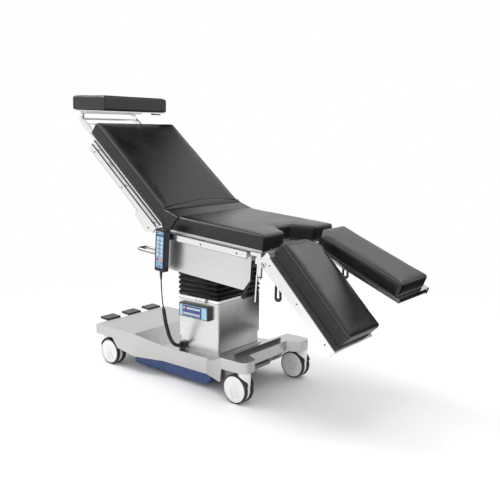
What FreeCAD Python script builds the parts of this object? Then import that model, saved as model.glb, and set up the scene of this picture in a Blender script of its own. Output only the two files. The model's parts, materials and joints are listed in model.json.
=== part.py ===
import FreeCAD, Part
import math
import os
import Sketcher
from FreeCAD import Placement, Rotation, Vector

# Operating table: a castored base, a telescopic column and a sectioned table top.
# Row frame: +Z up, +X towards the foot end, -Y is the side that carries the handset.
# The origin is on the floor, under the middle of the whole table. Millimetres.

doc = FreeCAD.newDocument("operating_table")
sheet = doc.addObject("Spreadsheet::Sheet", "sizes")

SIZES = {
    # Castors: twin discs that trail behind an upright swivel stem
    "wheel_radius": 62.5,
    "wheel_side": 28.0,
    "wheel_gap": 9.5,
    "wheel_trail": 32.0,
    "axle_radius": 6.0,
    "tyre_shoulder": 6.0,
    "tyre_crown": 1.7,
    "rim_depth": 1.4,
    "rim_inset": 8.5,
    "castor_side": 201.0,
    "castor_head": -615.0,
    "castor_foot": 246.0,
    "stem_radius": 27.0,
    "stem_top": 136.0,
    "swivel_pin_radius": 9.0,
    "swivel_pin_rise": 20.0,
    "running_gap": 0.05,
    "face_gap": 0.4,
    # Base cover: brushed sheet over the chassis
    "cover_head": -675.0,
    "cover_foot": 275.0,
    "cover_half": 231.0,
    "cover_top": 184.5,
    "cover_fold": -398.0,
    "deck_head": -245.5,
    "deck_foot": 61.5,
    "waist_foot": 23.5,
    "deck_half": 190.0,
    "deck_top": 146.5,
    "arm_start": 145.0,
    "arm_width": 70.5,
    "recess_depth": 60.0,
    "skirt_low": 75.5,
    "skirt_high": 137.0,
    "arch_clear": 62.0,
    "sheet_wall": 3.0,
    "corner_round": 26.0,
    # Chassis under the cover
    "rail_half": 90.0,
    "rail_width": 40.0,
    "rail_low": 80.0,
    "rail_high": 140.0,
    "beam_half": 27.0,
    "beam_high": 166.0,
    "beam_reach": 226.0,
    # Battery and hydraulic box under the deck
    "tank_head": -450.0,
    "tank_foot": 38.0,
    "tank_half": 180.0,
    "tank_low": 20.0,
    "tank_high": 79.7,
    "tank_bevel": 30.0,
    "tank_round": 14.0,
    "hanger_end": 60.0,
    "hanger_inset": 10.0,
    "hanger_width": 20.0,
    # Column
    "column_x": -67.5,
    "column_half_x": 115.5,
    "column_half_y": 137.5,
    "plinth_margin": 12.0,
    "plinth_thick": 4.5,
    "lower_cover_top": 203.0,
    "upper_step": 5.5,
    "upper_cover_top": 372.0,
    "trim_top": 391.0,
    "cover_round": 10.0,
    "cover_wall": 2.5,
    "gland_inset": 22.0,
    "gland_rise": 12.0,
    "gland_half": 14.0,
    # Telescopic lift tubes
    "outer_tube_x": 84.0,
    "outer_tube_y": 96.0,
    "tube_wall": 8.0,
    "tube_play": 0.5,
    "outer_tube_low": 140.0,
    "outer_tube_high": 386.0,
    "middle_tube_low": 152.0,
    "middle_tube_high": 402.0,
    "inner_tube_low": 164.0,
    "head_plate_low": 500.0,
    "head_plate_thick": 14.0,
    # Bellows
    "pleat_pitch": 23.0,
    "pleat_depth": 17.0,
    "bellows_x": 122.0,
    "bellows_y": 148.0,
    # Tilting head of the column
    "pivot_x": -67.5,
    "pivot_z": 590.0,
    "yoke_half": 78.0,
    "yoke_thick": 16.0,
    "yoke_width": 70.0,
    "trunnion_radius": 14.0,
    "cross_half": 61.5,
    "cross_reach": 92.0,
    "cross_height": 46.0,
    "roll_radius": 12.0,
    # Table top: the section frames meet at the back hinge
    "hinge_x": -162.5,
    "hinge_z": 679.0,
    "seat_tilt": 4.6,
    "seat_plate_head": 18.0,
    "back_raised": 70.0,
    "pad_play": 0.5,
    "seat_pad_foot": 537.0,
    "pad_half": 250.0,
    "pad_low": 22.5,
    "pad_high": 83.5,
    "lever_pivot_z": -34.0,
    "lever_pin_radius": 5.0,
    "lever_knee": 96.0,
    "ball_radius": 11.0,
    "ball_inset": 37.0,
    "ball_drop": 174.0,
    "notch_depth": 84.0,
    "notch_mouth": 112.0,
    "notch_floor": 52.0,
    "notch_round": 24.0,
    "seat_plate_thick": 4.0,
    "frame_rail_side": 262.0,
    "frame_rail_width": 30.0,
    "frame_rail_low": -14.0,
    "frame_rail_high": 18.0,
    "seat_frame_head": 14.0,
    "seat_frame_foot": 500.0,
    "skirt_thick": 2.2,
    "skirt_head": 40.0,
    "skirt_foot": 501.0,
    "skirt_drop": 143.5,
    "skirt_bevel_x": 31.0,
    "skirt_bevel_z": 46.0,
    # Accessory rails
    "side_rail_face": 284.5,
    "side_rail_thick": 10.0,
    "side_rail_height": 25.0,
    "side_rail_mid": 1.5,
    "seat_rail_head": 34.0,
    "seat_rail_foot": 492.0,
    "rail_spacer_radius": 7.0,
    "rail_screw_a": 62.0,
    "rail_screw_b": 253.0,
    "rail_screw_c": 444.0,
    # Loop handle under the back hinge
    "loop_reach": 168.0,
    "loop_inner": 192.0,
    "loop_outer": 256.0,
    "loop_level": -98.0,
    "loop_radius": 7.0,
    # Back section
    "back_angle": 39.9,
    "back_pad_head": 648.0,
    "back_frame_foot": 22.0,
    "back_frame_head": 600.0,
    "back_cross_inset": 122.0,
    "head_guide_inset": 110.0,
    "back_rail_foot": 34.0,
    "back_rail_head": 568.0,
    "bracket_low": 46.0,
    "bracket_u_a": 26.0,
    "bracket_u_b": 61.0,
    "bracket_u_c": 152.0,
    "bracket_u_d": 168.0,
    "back_screw_a": 58.0,
    "back_screw_b": 292.0,
    "back_screw_c": 529.0,
    "hinge_radius": 9.0,
    # Head section
    "head_angle": 2.6,
    "head_bar_side": 168.0,
    "head_bar_wide": 8.0,
    "head_bar_high": 28.0,
    "head_bar_mid": -36.0,
    "head_bar_in": 470.0,
    "head_hinge_u": 808.0,
    "head_hinge_w": -34.0,
    "head_link_reach": 27.0348,
    "head_link_rise": 20.1402,
    "head_pad_foot": 211.0,
    "head_pad_length": 235.0,
    "head_pad_half": 199.5,
    "head_pad_thick": 60.5,
    "head_plate_lift": 5.5,
    "head_plate_sheet": 4.0,
    "head_shaft_radius": 6.0,
    # Legs
    "leg_pivot_x": 578.0,
    "leg_pivot_z": -17.5,
    "leg_pad_head": -30.0,
    "leg_pad_foot": 418.5,
    "leg_pad_width": 235.5,
    "leg_pad_low": 38.5,
    "leg_pad_high": 99.0,
    "leg_bevel_x": 43.0,
    "leg_bevel_y": 71.0,
    "leg_near_angle": 46.1,
    "leg_far_angle": 22.9,
    "leg_bar_face": 284.5,
    "leg_bar_thick": 8.0,
    "leg_bar_top": 38.0,
    "leg_bar_low": 14.0,
    "leg_bar_foot_low": 8.0,
    "leg_pin_radius": 11.0,
    # Release loops under the legs
    "release_side": 236.0,
    "release_x": 34.0,
    "release_z": 10.0,
    "release_pin_radius": 3.0,
    # Leg posts on the seat frame
    "post_x": 542.0,
    "post_side": 262.0,
    "post_radius": 8.0,
    "post_sleeve_radius": 11.5,
    "post_low": -84.0,
    "post_high": 22.0,
    "sleeve_low": -62.0,
    "sleeve_high": 4.0,
    # Control panel on the column
    "panel_head": -167.0,
    "panel_foot": 12.0,
    "panel_low": 299.0,
    "panel_high": 361.0,
    "panel_face": 165.0,
    # Handset
    "handset_head": 24.0,
    "handset_width": 60.0,
    "handset_low": -147.0,
    "handset_high": 35.0,
    "handset_back": 295.0,
    "handset_front": 320.5,
    "handset_round": 7.0,
    # Pedals
    "pedal_head": -745.0,
    "pedal_length": 58.0,
    "pedal_width": 86.0,
    "pedal_level": 181.0,
    "pedal_thick": 12.0,
    "pedal_first": -107.0,
    "pedal_spacing": 136.0,
    "pedal_axle_x": -664.0,
    "pedal_axle_z": 160.0,
    # Handset cord
    "lead_radius": 2.75,
    "coil_radius": 8.5,
}

for row, (alias, value) in enumerate(SIZES.items(), start=1):
    sheet.set(f"A{row}", alias)
    sheet.set(f"B{row}", str(value))
    sheet.setAlias(f"B{row}", alias)
doc.recompute()


class Size:
    """A length or angle that knows both its value and the expression that binds it."""

    def __init__(self, value, text):
        self.value = value
        self.text = text

    def __add__(self, other):
        other = as_size(other)
        return Size(self.value + other.value, f"({self.text} + {other.text})")

    def __sub__(self, other):
        other = as_size(other)
        return Size(self.value - other.value, f"({self.text} - {other.text})")

    def __mul__(self, other):
        other = as_size(other)
        return Size(self.value * other.value, f"({self.text} * {other.text})")

    def __truediv__(self, other):
        other = as_size(other)
        return Size(self.value / other.value, f"({self.text} / {other.text})")

    def __neg__(self):
        return Size(-self.value, f"(0 - {self.text})")

    __radd__ = __add__
    __rmul__ = __mul__

    def __rsub__(self, other):
        return as_size(other) - self


def as_size(number):
    if isinstance(number, Size):
        return number
    return Size(float(number), repr(float(number)) if number >= 0 else f"(0 - {abs(float(number))!r})")


class Names:
    """The sheet's cells as attributes, each one a Size."""


s = Names()
for alias in SIZES:
    setattr(s, alias, Size(float(sheet.get(alias)), f"sizes.{alias}"))

nodes = []
counter = {"made": 0}


def fresh(kind):
    counter["made"] += 1
    return f"{kind}_{counter['made']}"


def bind(thing, prop, size):
    thing.setExpression(prop, as_size(size).text)


def place_by(thing, x, y, z):
    """Binds where a primitive stands in its section's frame."""
    bind(thing, ".Placement.Base.x", x)
    bind(thing, ".Placement.Base.y", y)
    bind(thing, ".Placement.Base.z", z)


def block(low, high):
    """A box between two corners."""
    thing = doc.addObject("Part::Box", fresh("block"))
    for prop, a, b in zip(("Length", "Width", "Height"), low, high):
        bind(thing, prop, as_size(b) - a)
    place_by(thing, *low)
    return thing


TURN = {"X": Rotation(Vector(0, 1, 0), 90), "Y": Rotation(Vector(1, 0, 0), -90), "Z": Rotation()}


def rod(axis, start, length, radius):
    """A round bar along X, Y or Z from its start point."""
    thing = doc.addObject("Part::Cylinder", fresh("rod"))
    thing.Placement = Placement(Vector(), TURN[axis])
    bind(thing, "Radius", radius)
    bind(thing, "Height", length)
    place_by(thing, *start)
    return thing


def origin_plane(body, role):
    for feature in body.Origin.OriginFeatures:
        if feature.Role == role:
            return feature
    raise ValueError(role)


def outline(sketch, points):
    """A closed run of lines, each corner held by two bound distances."""
    first = sketch.GeometryCount
    total = len(points)
    spots = [(as_size(a), as_size(b)) for a, b in points]
    for i in range(total):
        a, b = spots[i], spots[(i + 1) % total]
        line = Part.LineSegment(Vector(a[0].value, a[1].value, 0), Vector(b[0].value, b[1].value, 0))
        sketch.addGeometry(line, False)
    for i in range(total):
        sketch.addConstraint(Sketcher.Constraint("Coincident", first + i, 2, first + (i + 1) % total, 1))
    for i, (a, b) in enumerate(spots):
        for kind, size in (("DistanceX", a), ("DistanceY", b)):
            index = sketch.addConstraint(Sketcher.Constraint(kind, -1, 1, first + i, 1, size.value))
            sketch.setExpression(f"Constraints[{index}]", size.text)


def ring(sketch, x, y, radius):
    """A circle held by its centre and radius."""
    x, y, radius = as_size(x), as_size(y), as_size(radius)
    circle = sketch.addGeometry(Part.Circle(Vector(x.value, y.value, 0), Vector(0, 0, 1), radius.value),
                                False)
    for kind, size in (("DistanceX", x), ("DistanceY", y)):
        index = sketch.addConstraint(Sketcher.Constraint(kind, -1, 1, circle, 3, size.value))
        sketch.setExpression(f"Constraints[{index}]", size.text)
    index = sketch.addConstraint(Sketcher.Constraint("Radius", circle, radius.value))
    sketch.setExpression(f"Constraints[{index}]", radius.text)


def prism(plane, points, low, high, holes=()):
    """A padded outline between two places along its plane's normal.

    Plane "XZ" has its outline in X and Z and runs along Y, and so on."""
    body = doc.addObject("PartDesign::Body", fresh("prism"))
    sketch = body.newObject("Sketcher::SketchObject", fresh("outline"))
    sketch.AttachmentSupport = [(origin_plane(body, plane + "_Plane"), "")]
    sketch.MapMode = "FlatFace"
    low, high = as_size(low), as_size(high)
    start = -high if plane == "XZ" else low
    bind(sketch, ".AttachmentOffset.Base.z", start)
    outline(sketch, points)
    for x, y, radius in holes:
        ring(sketch, x, y, radius)
    pad = body.newObject("PartDesign::Pad", fresh("pad"))
    pad.Profile = sketch
    bind(pad, "Length", high - low)
    body.Tip = pad
    doc.recompute([sketch, pad, body])
    return body


def rounded(body, radius, chosen):
    """Rounds the edges of a body that a rule picks by their middle and direction."""
    tip = body.Tip
    names = []
    for i, edge in enumerate(tip.Shape.Edges, start=1):
        middle = edge.CenterOfMass
        a, b = edge.Vertexes[0].Point, edge.Vertexes[-1].Point
        along = (b - a).normalize() if (b - a).Length > 1e-6 else Vector()
        if chosen(middle, along):
            names.append(f"Edge{i}")
    fillet = body.newObject("PartDesign::Fillet", fresh("round"))
    fillet.Base = (tip, names)
    bind(fillet, "Radius", radius)
    body.Tip = fillet
    doc.recompute([fillet, body])
    return body


def softened(thing, radius, chosen):
    """Rounds the edges of a boolean's result that a rule picks by their middle."""
    doc.recompute()
    picked = [i for i, edge in enumerate(thing.Shape.Edges, start=1) if chosen(edge.CenterOfMass)]
    result = doc.addObject("Part::Fillet", fresh("soft"))
    result.Base = thing
    result.Edges = [(i, radius, radius) for i in picked]
    return result


def fused(*pieces):
    thing = doc.addObject("Part::MultiFuse", fresh("joined"))
    thing.Shapes = list(pieces)
    thing.Refine = True
    return thing


def without(base, *tools):
    thing = doc.addObject("Part::Cut", fresh("cut"))
    thing.Base = base
    thing.Tool = tools[0] if len(tools) == 1 else fused(*tools)
    return thing


def shared(first, second):
    thing = doc.addObject("Part::Common", fresh("shared"))
    thing.Base = first
    thing.Tool = second
    return thing


def node(label, thing, frame=None):
    """Names a finished sub-part and puts it in its section's frame."""
    thing.Label = label
    if frame is not None:
        thing.Placement = frame
    nodes.append(thing)
    return thing


def tilted(x, z, angle):
    """A section's frame: turned about Y so that its foot end points down by the angle."""
    return Placement(Vector(x, 0, z), Rotation(Vector(0, 1, 0), angle))


SEAT = tilted(s.hinge_x.value, s.hinge_z.value, s.seat_tilt.value)
BACK = tilted(s.hinge_x.value, s.hinge_z.value, s.back_angle.value)
hinge_world = BACK.multVec(Vector(-s.head_hinge_u.value, 0, s.head_hinge_w.value))
shaft_u = s.head_hinge_u + s.head_link_reach
shaft_world = BACK.multVec(Vector(-shaft_u.value, 0, s.head_hinge_w.value + s.head_link_rise.value))
HEAD = tilted(shaft_world.x, shaft_world.z, s.head_angle.value)
pivot = SEAT.multVec(Vector(s.leg_pivot_x.value, 0, s.leg_pivot_z.value))
LEG = {"near": tilted(pivot.x, pivot.z, s.leg_near_angle.value),
       "far": tilted(pivot.x, pivot.z, s.leg_far_angle.value)}
SIDES = (("near", -1), ("far", 1))


def span(side, inner, outer):
    """Low and high Y of something between two distances from the middle, on one side."""
    if side < 0:
        return -as_size(outer), -as_size(inner)
    return as_size(inner), as_size(outer)


def turned(profile, x, z):
    """A ring: its outline in Y and radius, turned about a line along Y through x and z."""
    body = doc.addObject("PartDesign::Body", fresh("turned"))
    sketch = body.newObject("Sketcher::SketchObject", fresh("outline"))
    sketch.AttachmentSupport = [(origin_plane(body, "YZ_Plane"), "")]
    sketch.MapMode = "FlatFace"
    bind(sketch, ".AttachmentOffset.Base.z", x)
    bind(sketch, ".AttachmentOffset.Base.y", z)
    outline(sketch, profile)
    spin = body.newObject("PartDesign::Revolution", fresh("spin"))
    spin.Profile = sketch
    spin.ReferenceAxis = (sketch, ["H_Axis"])
    spin.Angle = 360
    body.Tip = spin
    doc.recompute([sketch, spin, body])
    return body


# Castors


def castor_disc(axle_x, stem_y, side):
    """One wheel: a flat inner face, a tyre with soft shoulders and a dished outer face."""
    rim = s.wheel_radius - s.rim_inset
    profile = [
        (s.wheel_gap, s.axle_radius - 2),
        (s.wheel_gap, s.wheel_radius - s.tyre_shoulder),
        (s.wheel_gap + s.tyre_crown, s.wheel_radius - s.tyre_crown),
        (s.wheel_gap + s.tyre_shoulder, s.wheel_radius),
        (s.wheel_side - s.tyre_shoulder, s.wheel_radius),
        (s.wheel_side - s.tyre_crown, s.wheel_radius - s.tyre_crown),
        (s.wheel_side, s.wheel_radius - s.tyre_shoulder),
        (s.wheel_side - s.rim_depth, rim),
        (s.wheel_side, rim - s.rim_depth * 2),
        (s.wheel_side, s.axle_radius - 2),
    ]
    return turned([(stem_y + y * side, radius) for y, radius in profile], axle_x, s.wheel_radius)


def castor(name, stem_x, stem_y, trail):
    """A fork with its stem, and a pair of discs on one axle."""
    axle_x = stem_x + trail
    web_half = s.wheel_gap - 1
    half = s.wheel_radius * 0.42
    web = prism("XZ", [(axle_x - half, s.wheel_radius - half), (axle_x + half, s.wheel_radius - half),
                       (axle_x + half, s.wheel_radius + half),
                       (stem_x + s.stem_radius * 0.8, s.stem_top - 6),
                       (stem_x - s.stem_radius * 0.8, s.stem_top - 6),
                       (axle_x - half, s.wheel_radius + half)],
                stem_y - web_half, stem_y + web_half)
    stem_low = s.wheel_radius + 14
    stem = rod("Z", (stem_x, stem_y, stem_low), s.stem_top - stem_low, s.stem_radius)
    relief = [rod("Y", (axle_x, y, s.wheel_radius), s.stem_radius + 4, s.wheel_radius + 2.5)
              for y in (stem_y + web_half, stem_y - web_half - s.stem_radius - 4)]
    pin = rod("Z", (stem_x, stem_y, s.stem_top - 2), s.swivel_pin_rise + 2, s.swivel_pin_radius)
    bore = rod("Y", (axle_x, stem_y - 30, s.wheel_radius), 60, s.axle_radius + s.running_gap)
    fork = without(fused(web, without(stem, *relief), pin), bore)
    node(f"castor_fork_{name}", fork)
    discs = [castor_disc(axle_x, stem_y, side) for side in (-1, 1)]
    axle = rod("Y", (axle_x, stem_y - s.wheel_side + 0.5, s.wheel_radius), s.wheel_side * 2 - 1,
               s.axle_radius)
    node(f"castor_wheels_{name}", fused(axle, *discs))


for end, stem_x, trail in (("head", s.castor_head, s.wheel_trail), ("foot", s.castor_foot, -s.wheel_trail)):
    for side_name, side in SIDES:
        castor(f"{side_name}_{end}", stem_x, s.castor_side * side, trail)


# Base cover: the side profile and the plan profile cross, and the inside is hollow


def cover_form(wall, floor_drop):
    """The form of the cover, drawn in from its outside by a wall."""
    side = prism("XZ", [
        (s.cover_head + wall, s.skirt_high - floor_drop),
        (s.castor_head + s.arch_clear + wall, s.skirt_high - floor_drop),
        (s.castor_head + s.wheel_trail + s.wheel_radius + 2, s.skirt_low + 18 - floor_drop),
        (s.cover_fold, s.skirt_low - floor_drop),
        (s.castor_foot - 111 - wall, s.skirt_low - floor_drop),
        (s.castor_foot - 99 - wall, s.skirt_high - floor_drop),
        (s.cover_foot - wall, s.skirt_high - floor_drop),
        (s.cover_foot - wall, s.cover_top - wall),
        (s.arm_start, s.cover_top - wall),
        (s.deck_foot, s.deck_top - wall),
        (s.deck_head, s.deck_top - wall),
        (s.cover_fold, s.cover_top - wall),
        (s.cover_head + wall, s.cover_top - wall),
    ], -s.cover_half - 5, s.cover_half + 5)
    recess = s.cover_foot - s.recess_depth
    inner = s.cover_half - s.arm_width
    plan = prism("XY", [
        (s.cover_head + wall, -s.cover_half + wall),
        (s.cover_fold, -s.cover_half + wall),
        (s.deck_head, -s.deck_half + wall),
        (s.waist_foot, -s.deck_half + wall),
        (s.arm_start, -s.cover_half + wall),
        (s.cover_foot - wall, -s.cover_half + wall),
        (s.cover_foot - wall, -inner - wall),
        (recess - wall, -inner + 30 - wall),
        (recess - wall, inner - 30 + wall),
        (s.cover_foot - wall, inner + wall),
        (s.cover_foot - wall, s.cover_half - wall),
        (s.arm_start, s.cover_half - wall),
        (s.waist_foot, s.deck_half - wall),
        (s.deck_head, s.deck_half - wall),
        (s.cover_fold, s.cover_half - wall),
        (s.cover_head + wall, s.cover_half - wall),
    ], 0, s.cover_top + 5)
    corner = s.cover_foot.value - wall.value
    rounded(plan, s.corner_round - wall,
            lambda m, d: abs(d.z) > 0.9 and abs(m.x - corner) < 0.5)
    return shared(side, plan)


no_wall = as_size(0)
opening_x, opening_y = s.outer_tube_x + 6, s.outer_tube_y + 6
deck_opening = block((s.column_x - opening_x, -opening_y, s.skirt_low),
                     (s.column_x + opening_x, opening_y, s.cover_top))
pedal_slots = [block((s.cover_head - 5, s.pedal_first + s.pedal_spacing * i - 12, s.pedal_axle_z - 12),
                     (s.cover_head + 10, s.pedal_first + s.pedal_spacing * i + 12, s.pedal_axle_z + 12))
               for i in range(3)]
node("base_cover", without(cover_form(no_wall, no_wall), cover_form(s.sheet_wall, as_size(10)),
                           deck_opening, *pedal_slots))

# Chassis: two long tubes, the castor beams, the column seat and the tank hangers
chassis_bits = []
beam_low = s.stem_top + s.face_gap
rail_foot = s.arm_start - 20
foot_beam = s.cover_foot - s.recess_depth - s.sheet_wall - 6
for _, side in SIDES:
    low, high = span(side, s.rail_half - s.rail_width, s.rail_half)
    chassis_bits.append(block((s.castor_head - s.beam_half, low, s.rail_low),
                              (rail_foot, high, s.rail_high)))
    chassis_bits.append(block((rail_foot - 12, low, beam_low - 6), (foot_beam - 20, high, s.beam_high - 2)))
    # Arm tube that carries a foot castor beside the recess
    low, high = span(side, s.cover_half - s.arm_width + 14, s.castor_side + 20)
    bore = rod("Z", (s.castor_foot, s.castor_side * side, 0), s.cover_top,
               s.swivel_pin_radius + s.running_gap)
    arm_tube = block((foot_beam - 20, low, beam_low), (s.castor_foot + 17, high, s.beam_high))
    chassis_bits.append(without(arm_tube, bore))
    # Hanger of the foot bar
    low, high = span(side, s.rail_half - 26, s.rail_half - 16)
    chassis_bits.append(block((s.arm_start + 5, low, s.rail_low + 6),
                              (s.arm_start + 15, high, beam_low + 4)))
chassis_bits.append(block((foot_beam - 56, -s.beam_reach, beam_low),
                          (foot_beam, s.beam_reach, s.beam_high)))
chassis_bits.append(block((s.arm_start + 5, -s.rail_half, s.rail_low + 4),
                          (s.arm_start + 21, s.rail_half - 15, s.rail_low + 18)))
head_beam = block((s.castor_head - s.beam_half, -s.beam_reach, beam_low),
                  (s.castor_head + s.beam_half, s.beam_reach, s.beam_high))
head_bores = [rod("Z", (s.castor_head, s.castor_side * side, 0), s.cover_top,
                  s.swivel_pin_radius + s.running_gap)
              for _, side in SIDES]
chassis_bits.append(without(head_beam, *head_bores))
seat_x, seat_y = s.outer_tube_x + 4, s.outer_tube_y + 4
chassis_bits.append(block((s.column_x - seat_x, -seat_y, s.rail_high - 12),
                          (s.column_x + seat_x, seat_y, s.rail_high)))
ladder = block((s.castor_head + 60, -s.rail_half, s.rail_high - 20),
               (s.castor_head + 84, s.rail_half, s.rail_high))
chassis_bits.append(ladder)
for i in range(3):
    y = s.pedal_first + s.pedal_spacing * i
    for offset in (-21, 13):
        ear = block((s.pedal_axle_x - 7, y + offset, s.pedal_axle_z - 11),
                    (s.castor_head - s.beam_half + 1, y + offset + 8, s.pedal_axle_z + 5.5))
        chassis_bits.append(without(ear, rod("Y", (s.pedal_axle_x, y + offset - 1, s.pedal_axle_z), 10,
                                             4.05)))
node("chassis_frame", fused(*chassis_bits))

# Battery and hydraulic box: hangs under the long tubes
tank = prism("XZ", [(s.tank_head, s.tank_low), (s.tank_foot - s.tank_bevel, s.tank_low),
                    (s.tank_foot, s.tank_low + s.tank_bevel), (s.tank_foot, s.tank_high - 4),
                    (s.tank_head, s.tank_high - 4)],
             -s.tank_half, s.tank_half)
tank_low = s.tank_low.value
rounded(tank, s.tank_round, lambda m, d: m.z < tank_low + 0.5 and abs(d.y) < 0.1)
hangers = []
for _, side in SIDES:
    hanger_outer = s.rail_half - s.hanger_inset
    low, high = span(side, hanger_outer - s.hanger_width, hanger_outer)
    hangers.append(block((s.tank_head + s.hanger_end, low, s.tank_high - 5),
                         (s.tank_foot - s.hanger_end, high, s.rail_low - 0.3)))
node("battery_box", fused(tank, *hangers))

# Column: a plinth on the deck, two sheet covers and a bright ring


def box_ring(half_x, half_y, low, high, wall, radius):
    """A square sleeve about the column's axis, with rounded upright corners."""
    outer = prism("XY", [(s.column_x - half_x, -half_y), (s.column_x + half_x, -half_y),
                         (s.column_x + half_x, half_y), (s.column_x - half_x, half_y)], low, high)
    rounded(outer, radius, lambda m, d: abs(d.z) > 0.9)
    inner = block((s.column_x - half_x + wall, -half_y + wall, low - 5),
                  (s.column_x + half_x - wall, half_y - wall, high + 5))
    return without(outer, inner)


plinth_x = s.column_half_x + s.plinth_margin
plinth_y = s.column_half_y + s.plinth_margin
plinth_top = s.deck_top + s.plinth_thick
gland_x = s.column_x - s.column_half_x + s.gland_inset
gland_z = plinth_top + s.gland_rise
plinth = box_ring(plinth_x, plinth_y, s.deck_top, plinth_top, s.plinth_margin + 8, s.cover_round)
gland_foot = block((gland_x - s.gland_half, -plinth_y - 4, s.deck_top),
                   (gland_x + s.gland_half, -s.column_half_y - 1, gland_z + s.gland_rise))
gland_nose = rod("Y", (gland_x, -plinth_y - 10, gland_z), 12, s.coil_radius + 1.5)
node("column_plinth", fused(plinth, gland_foot, gland_nose))
node("column_lower_cover", box_ring(s.column_half_x, s.column_half_y, plinth_top, s.lower_cover_top,
                                    s.cover_wall, s.cover_round))
upper_x, upper_y = s.column_half_x + s.upper_step, s.column_half_y + s.upper_step
upper = box_ring(upper_x, upper_y, s.lower_cover_top, s.upper_cover_top, s.cover_wall, s.cover_round)
step_lip = box_ring(s.column_half_x + s.upper_step - 1, s.column_half_y + s.upper_step - 1,
                    s.lower_cover_top,
                    s.lower_cover_top + 6, s.upper_step + 4, s.cover_round)
node("column_upper_cover", fused(upper, step_lip))
node("column_trim", box_ring(upper_x - 1, upper_y - 1, s.upper_cover_top, s.trim_top, s.upper_step + 14,
                             s.cover_round))

panel_back = upper_y
panel = prism("XZ", [(s.panel_head, s.panel_low), (s.panel_foot, s.panel_low),
                     (s.panel_foot, s.panel_high), (s.panel_head, s.panel_high)],
              -s.panel_face + 1.5, -panel_back)
face_y = -s.panel_face.value + 1.5
rounded(panel, as_size(4), lambda m, d: abs(d.y) > 0.9 or abs(m.y - face_y) < 0.1)
node("control_panel", panel)
node("control_keypad", block((s.panel_head + 8, -s.panel_face, s.panel_low + 5),
                             (s.panel_foot - 8, -s.panel_face + 1.5, s.panel_high - 5)))

# Lift: three square tubes, one inside the next


def tube(half_x, half_y, low, high, wall):
    outer = block((s.column_x - half_x, -half_y, low), (s.column_x + half_x, half_y, high))
    inner = block((s.column_x - half_x + wall, -half_y + wall, low - 1),
                  (s.column_x + half_x - wall, half_y - wall, high + 1))
    return without(outer, inner)


step_in = s.tube_wall + s.tube_play
middle_x, middle_y = s.outer_tube_x - step_in, s.outer_tube_y - step_in
inner_x, inner_y = middle_x - step_in, middle_y - step_in
node("lift_outer_tube", tube(s.outer_tube_x, s.outer_tube_y, s.outer_tube_low, s.outer_tube_high,
                             s.tube_wall))
node("lift_middle_tube", tube(middle_x, middle_y, s.middle_tube_low, s.middle_tube_high, s.tube_wall))
inner_tube = tube(inner_x, inner_y, s.inner_tube_low, s.head_plate_low + 2, s.tube_wall)
head_plate = block((s.column_x - s.bellows_x + 14, -s.bellows_y + 14, s.head_plate_low),
                   (s.column_x + s.bellows_x - 14, s.bellows_y - 14, s.head_plate_low + s.head_plate_thick))
yoke_bits = []
for _, side in SIDES:
    low, high = span(side, s.yoke_half - s.yoke_thick, s.yoke_half)
    half = s.yoke_width / 2
    ear = prism("XZ", [(s.pivot_x - half, s.head_plate_low + 4), (s.pivot_x + half, s.head_plate_low + 4),
                       (s.pivot_x + half * 0.8, s.pivot_z + 10), (s.pivot_x + half * 0.4, s.pivot_z + 26),
                       (s.pivot_x - half * 0.4, s.pivot_z + 26), (s.pivot_x - half * 0.8, s.pivot_z + 10)],
                low, high, holes=[(s.pivot_x, s.pivot_z, s.trunnion_radius + s.running_gap)])
    yoke_bits.append(ear)
node("lift_inner_tube", fused(inner_tube, head_plate, *yoke_bits))

# Bellows: square pleats stacked from the trim ring to the column head
pleats = 5
bellows_low = s.trim_top + 0.3
bellows_high = s.head_plate_low - 0.3
pitch = (bellows_high - bellows_low) / pleats


def square(z, inset):
    x0 = s.column_x.value
    hx, hy = s.bellows_x.value - inset, s.bellows_y.value - inset
    corners = [Vector(x0 - hx, -hy, z), Vector(x0 + hx, -hy, z), Vector(x0 + hx, hy, z),
               Vector(x0 - hx, hy, z)]
    return Part.makePolygon(corners + corners[:1])


def pleated():
    low, high, step = bellows_low.value, bellows_high.value, pitch.value
    depth = s.pleat_depth.value
    sections = []
    for i in range(pleats):
        z = low + step * i
        if i == 0:
            sections.append(square(z, depth))
        sections.append(square(z + step * 0.42, 0))
        sections.append(square(z + step * 0.58, 0))
        sections.append(square(z + step, depth))
    return Part.makeLoft(sections, True, True)


bellows = doc.addObject("Part::Feature", fresh("bellows"))
core_x, core_y = s.bellows_x.value - s.pleat_depth.value - 4, s.bellows_y.value - s.pleat_depth.value - 4
core_rise = bellows_high.value - bellows_low.value + 10
core = Part.makeBox(core_x * 2, core_y * 2, core_rise,
                    Vector(s.column_x.value - core_x, -core_y, bellows_low.value - 5))
bellows.Shape = pleated().cut(core)
node("bellows", bellows)

# Tilt cross: trunnions along Y in the column head, a roll shaft along the table in its middle
ROLL = tilted(s.pivot_x.value, s.pivot_z.value, s.seat_tilt.value)
cross_core = block((-s.cross_reach + 30, -s.cross_half, -s.cross_height / 2),
                   (s.cross_reach - 30, s.cross_half, s.cross_height / 2))
trunnion = rod("Y", (0, -s.yoke_half + 1, 0), s.yoke_half * 2 - 2, s.trunnion_radius)
roll = rod("X", (-s.cross_reach, 0, 0), s.cross_reach * 2, s.roll_radius)
node("tilt_cross", fused(cross_core, trunnion, roll), ROLL)

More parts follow.
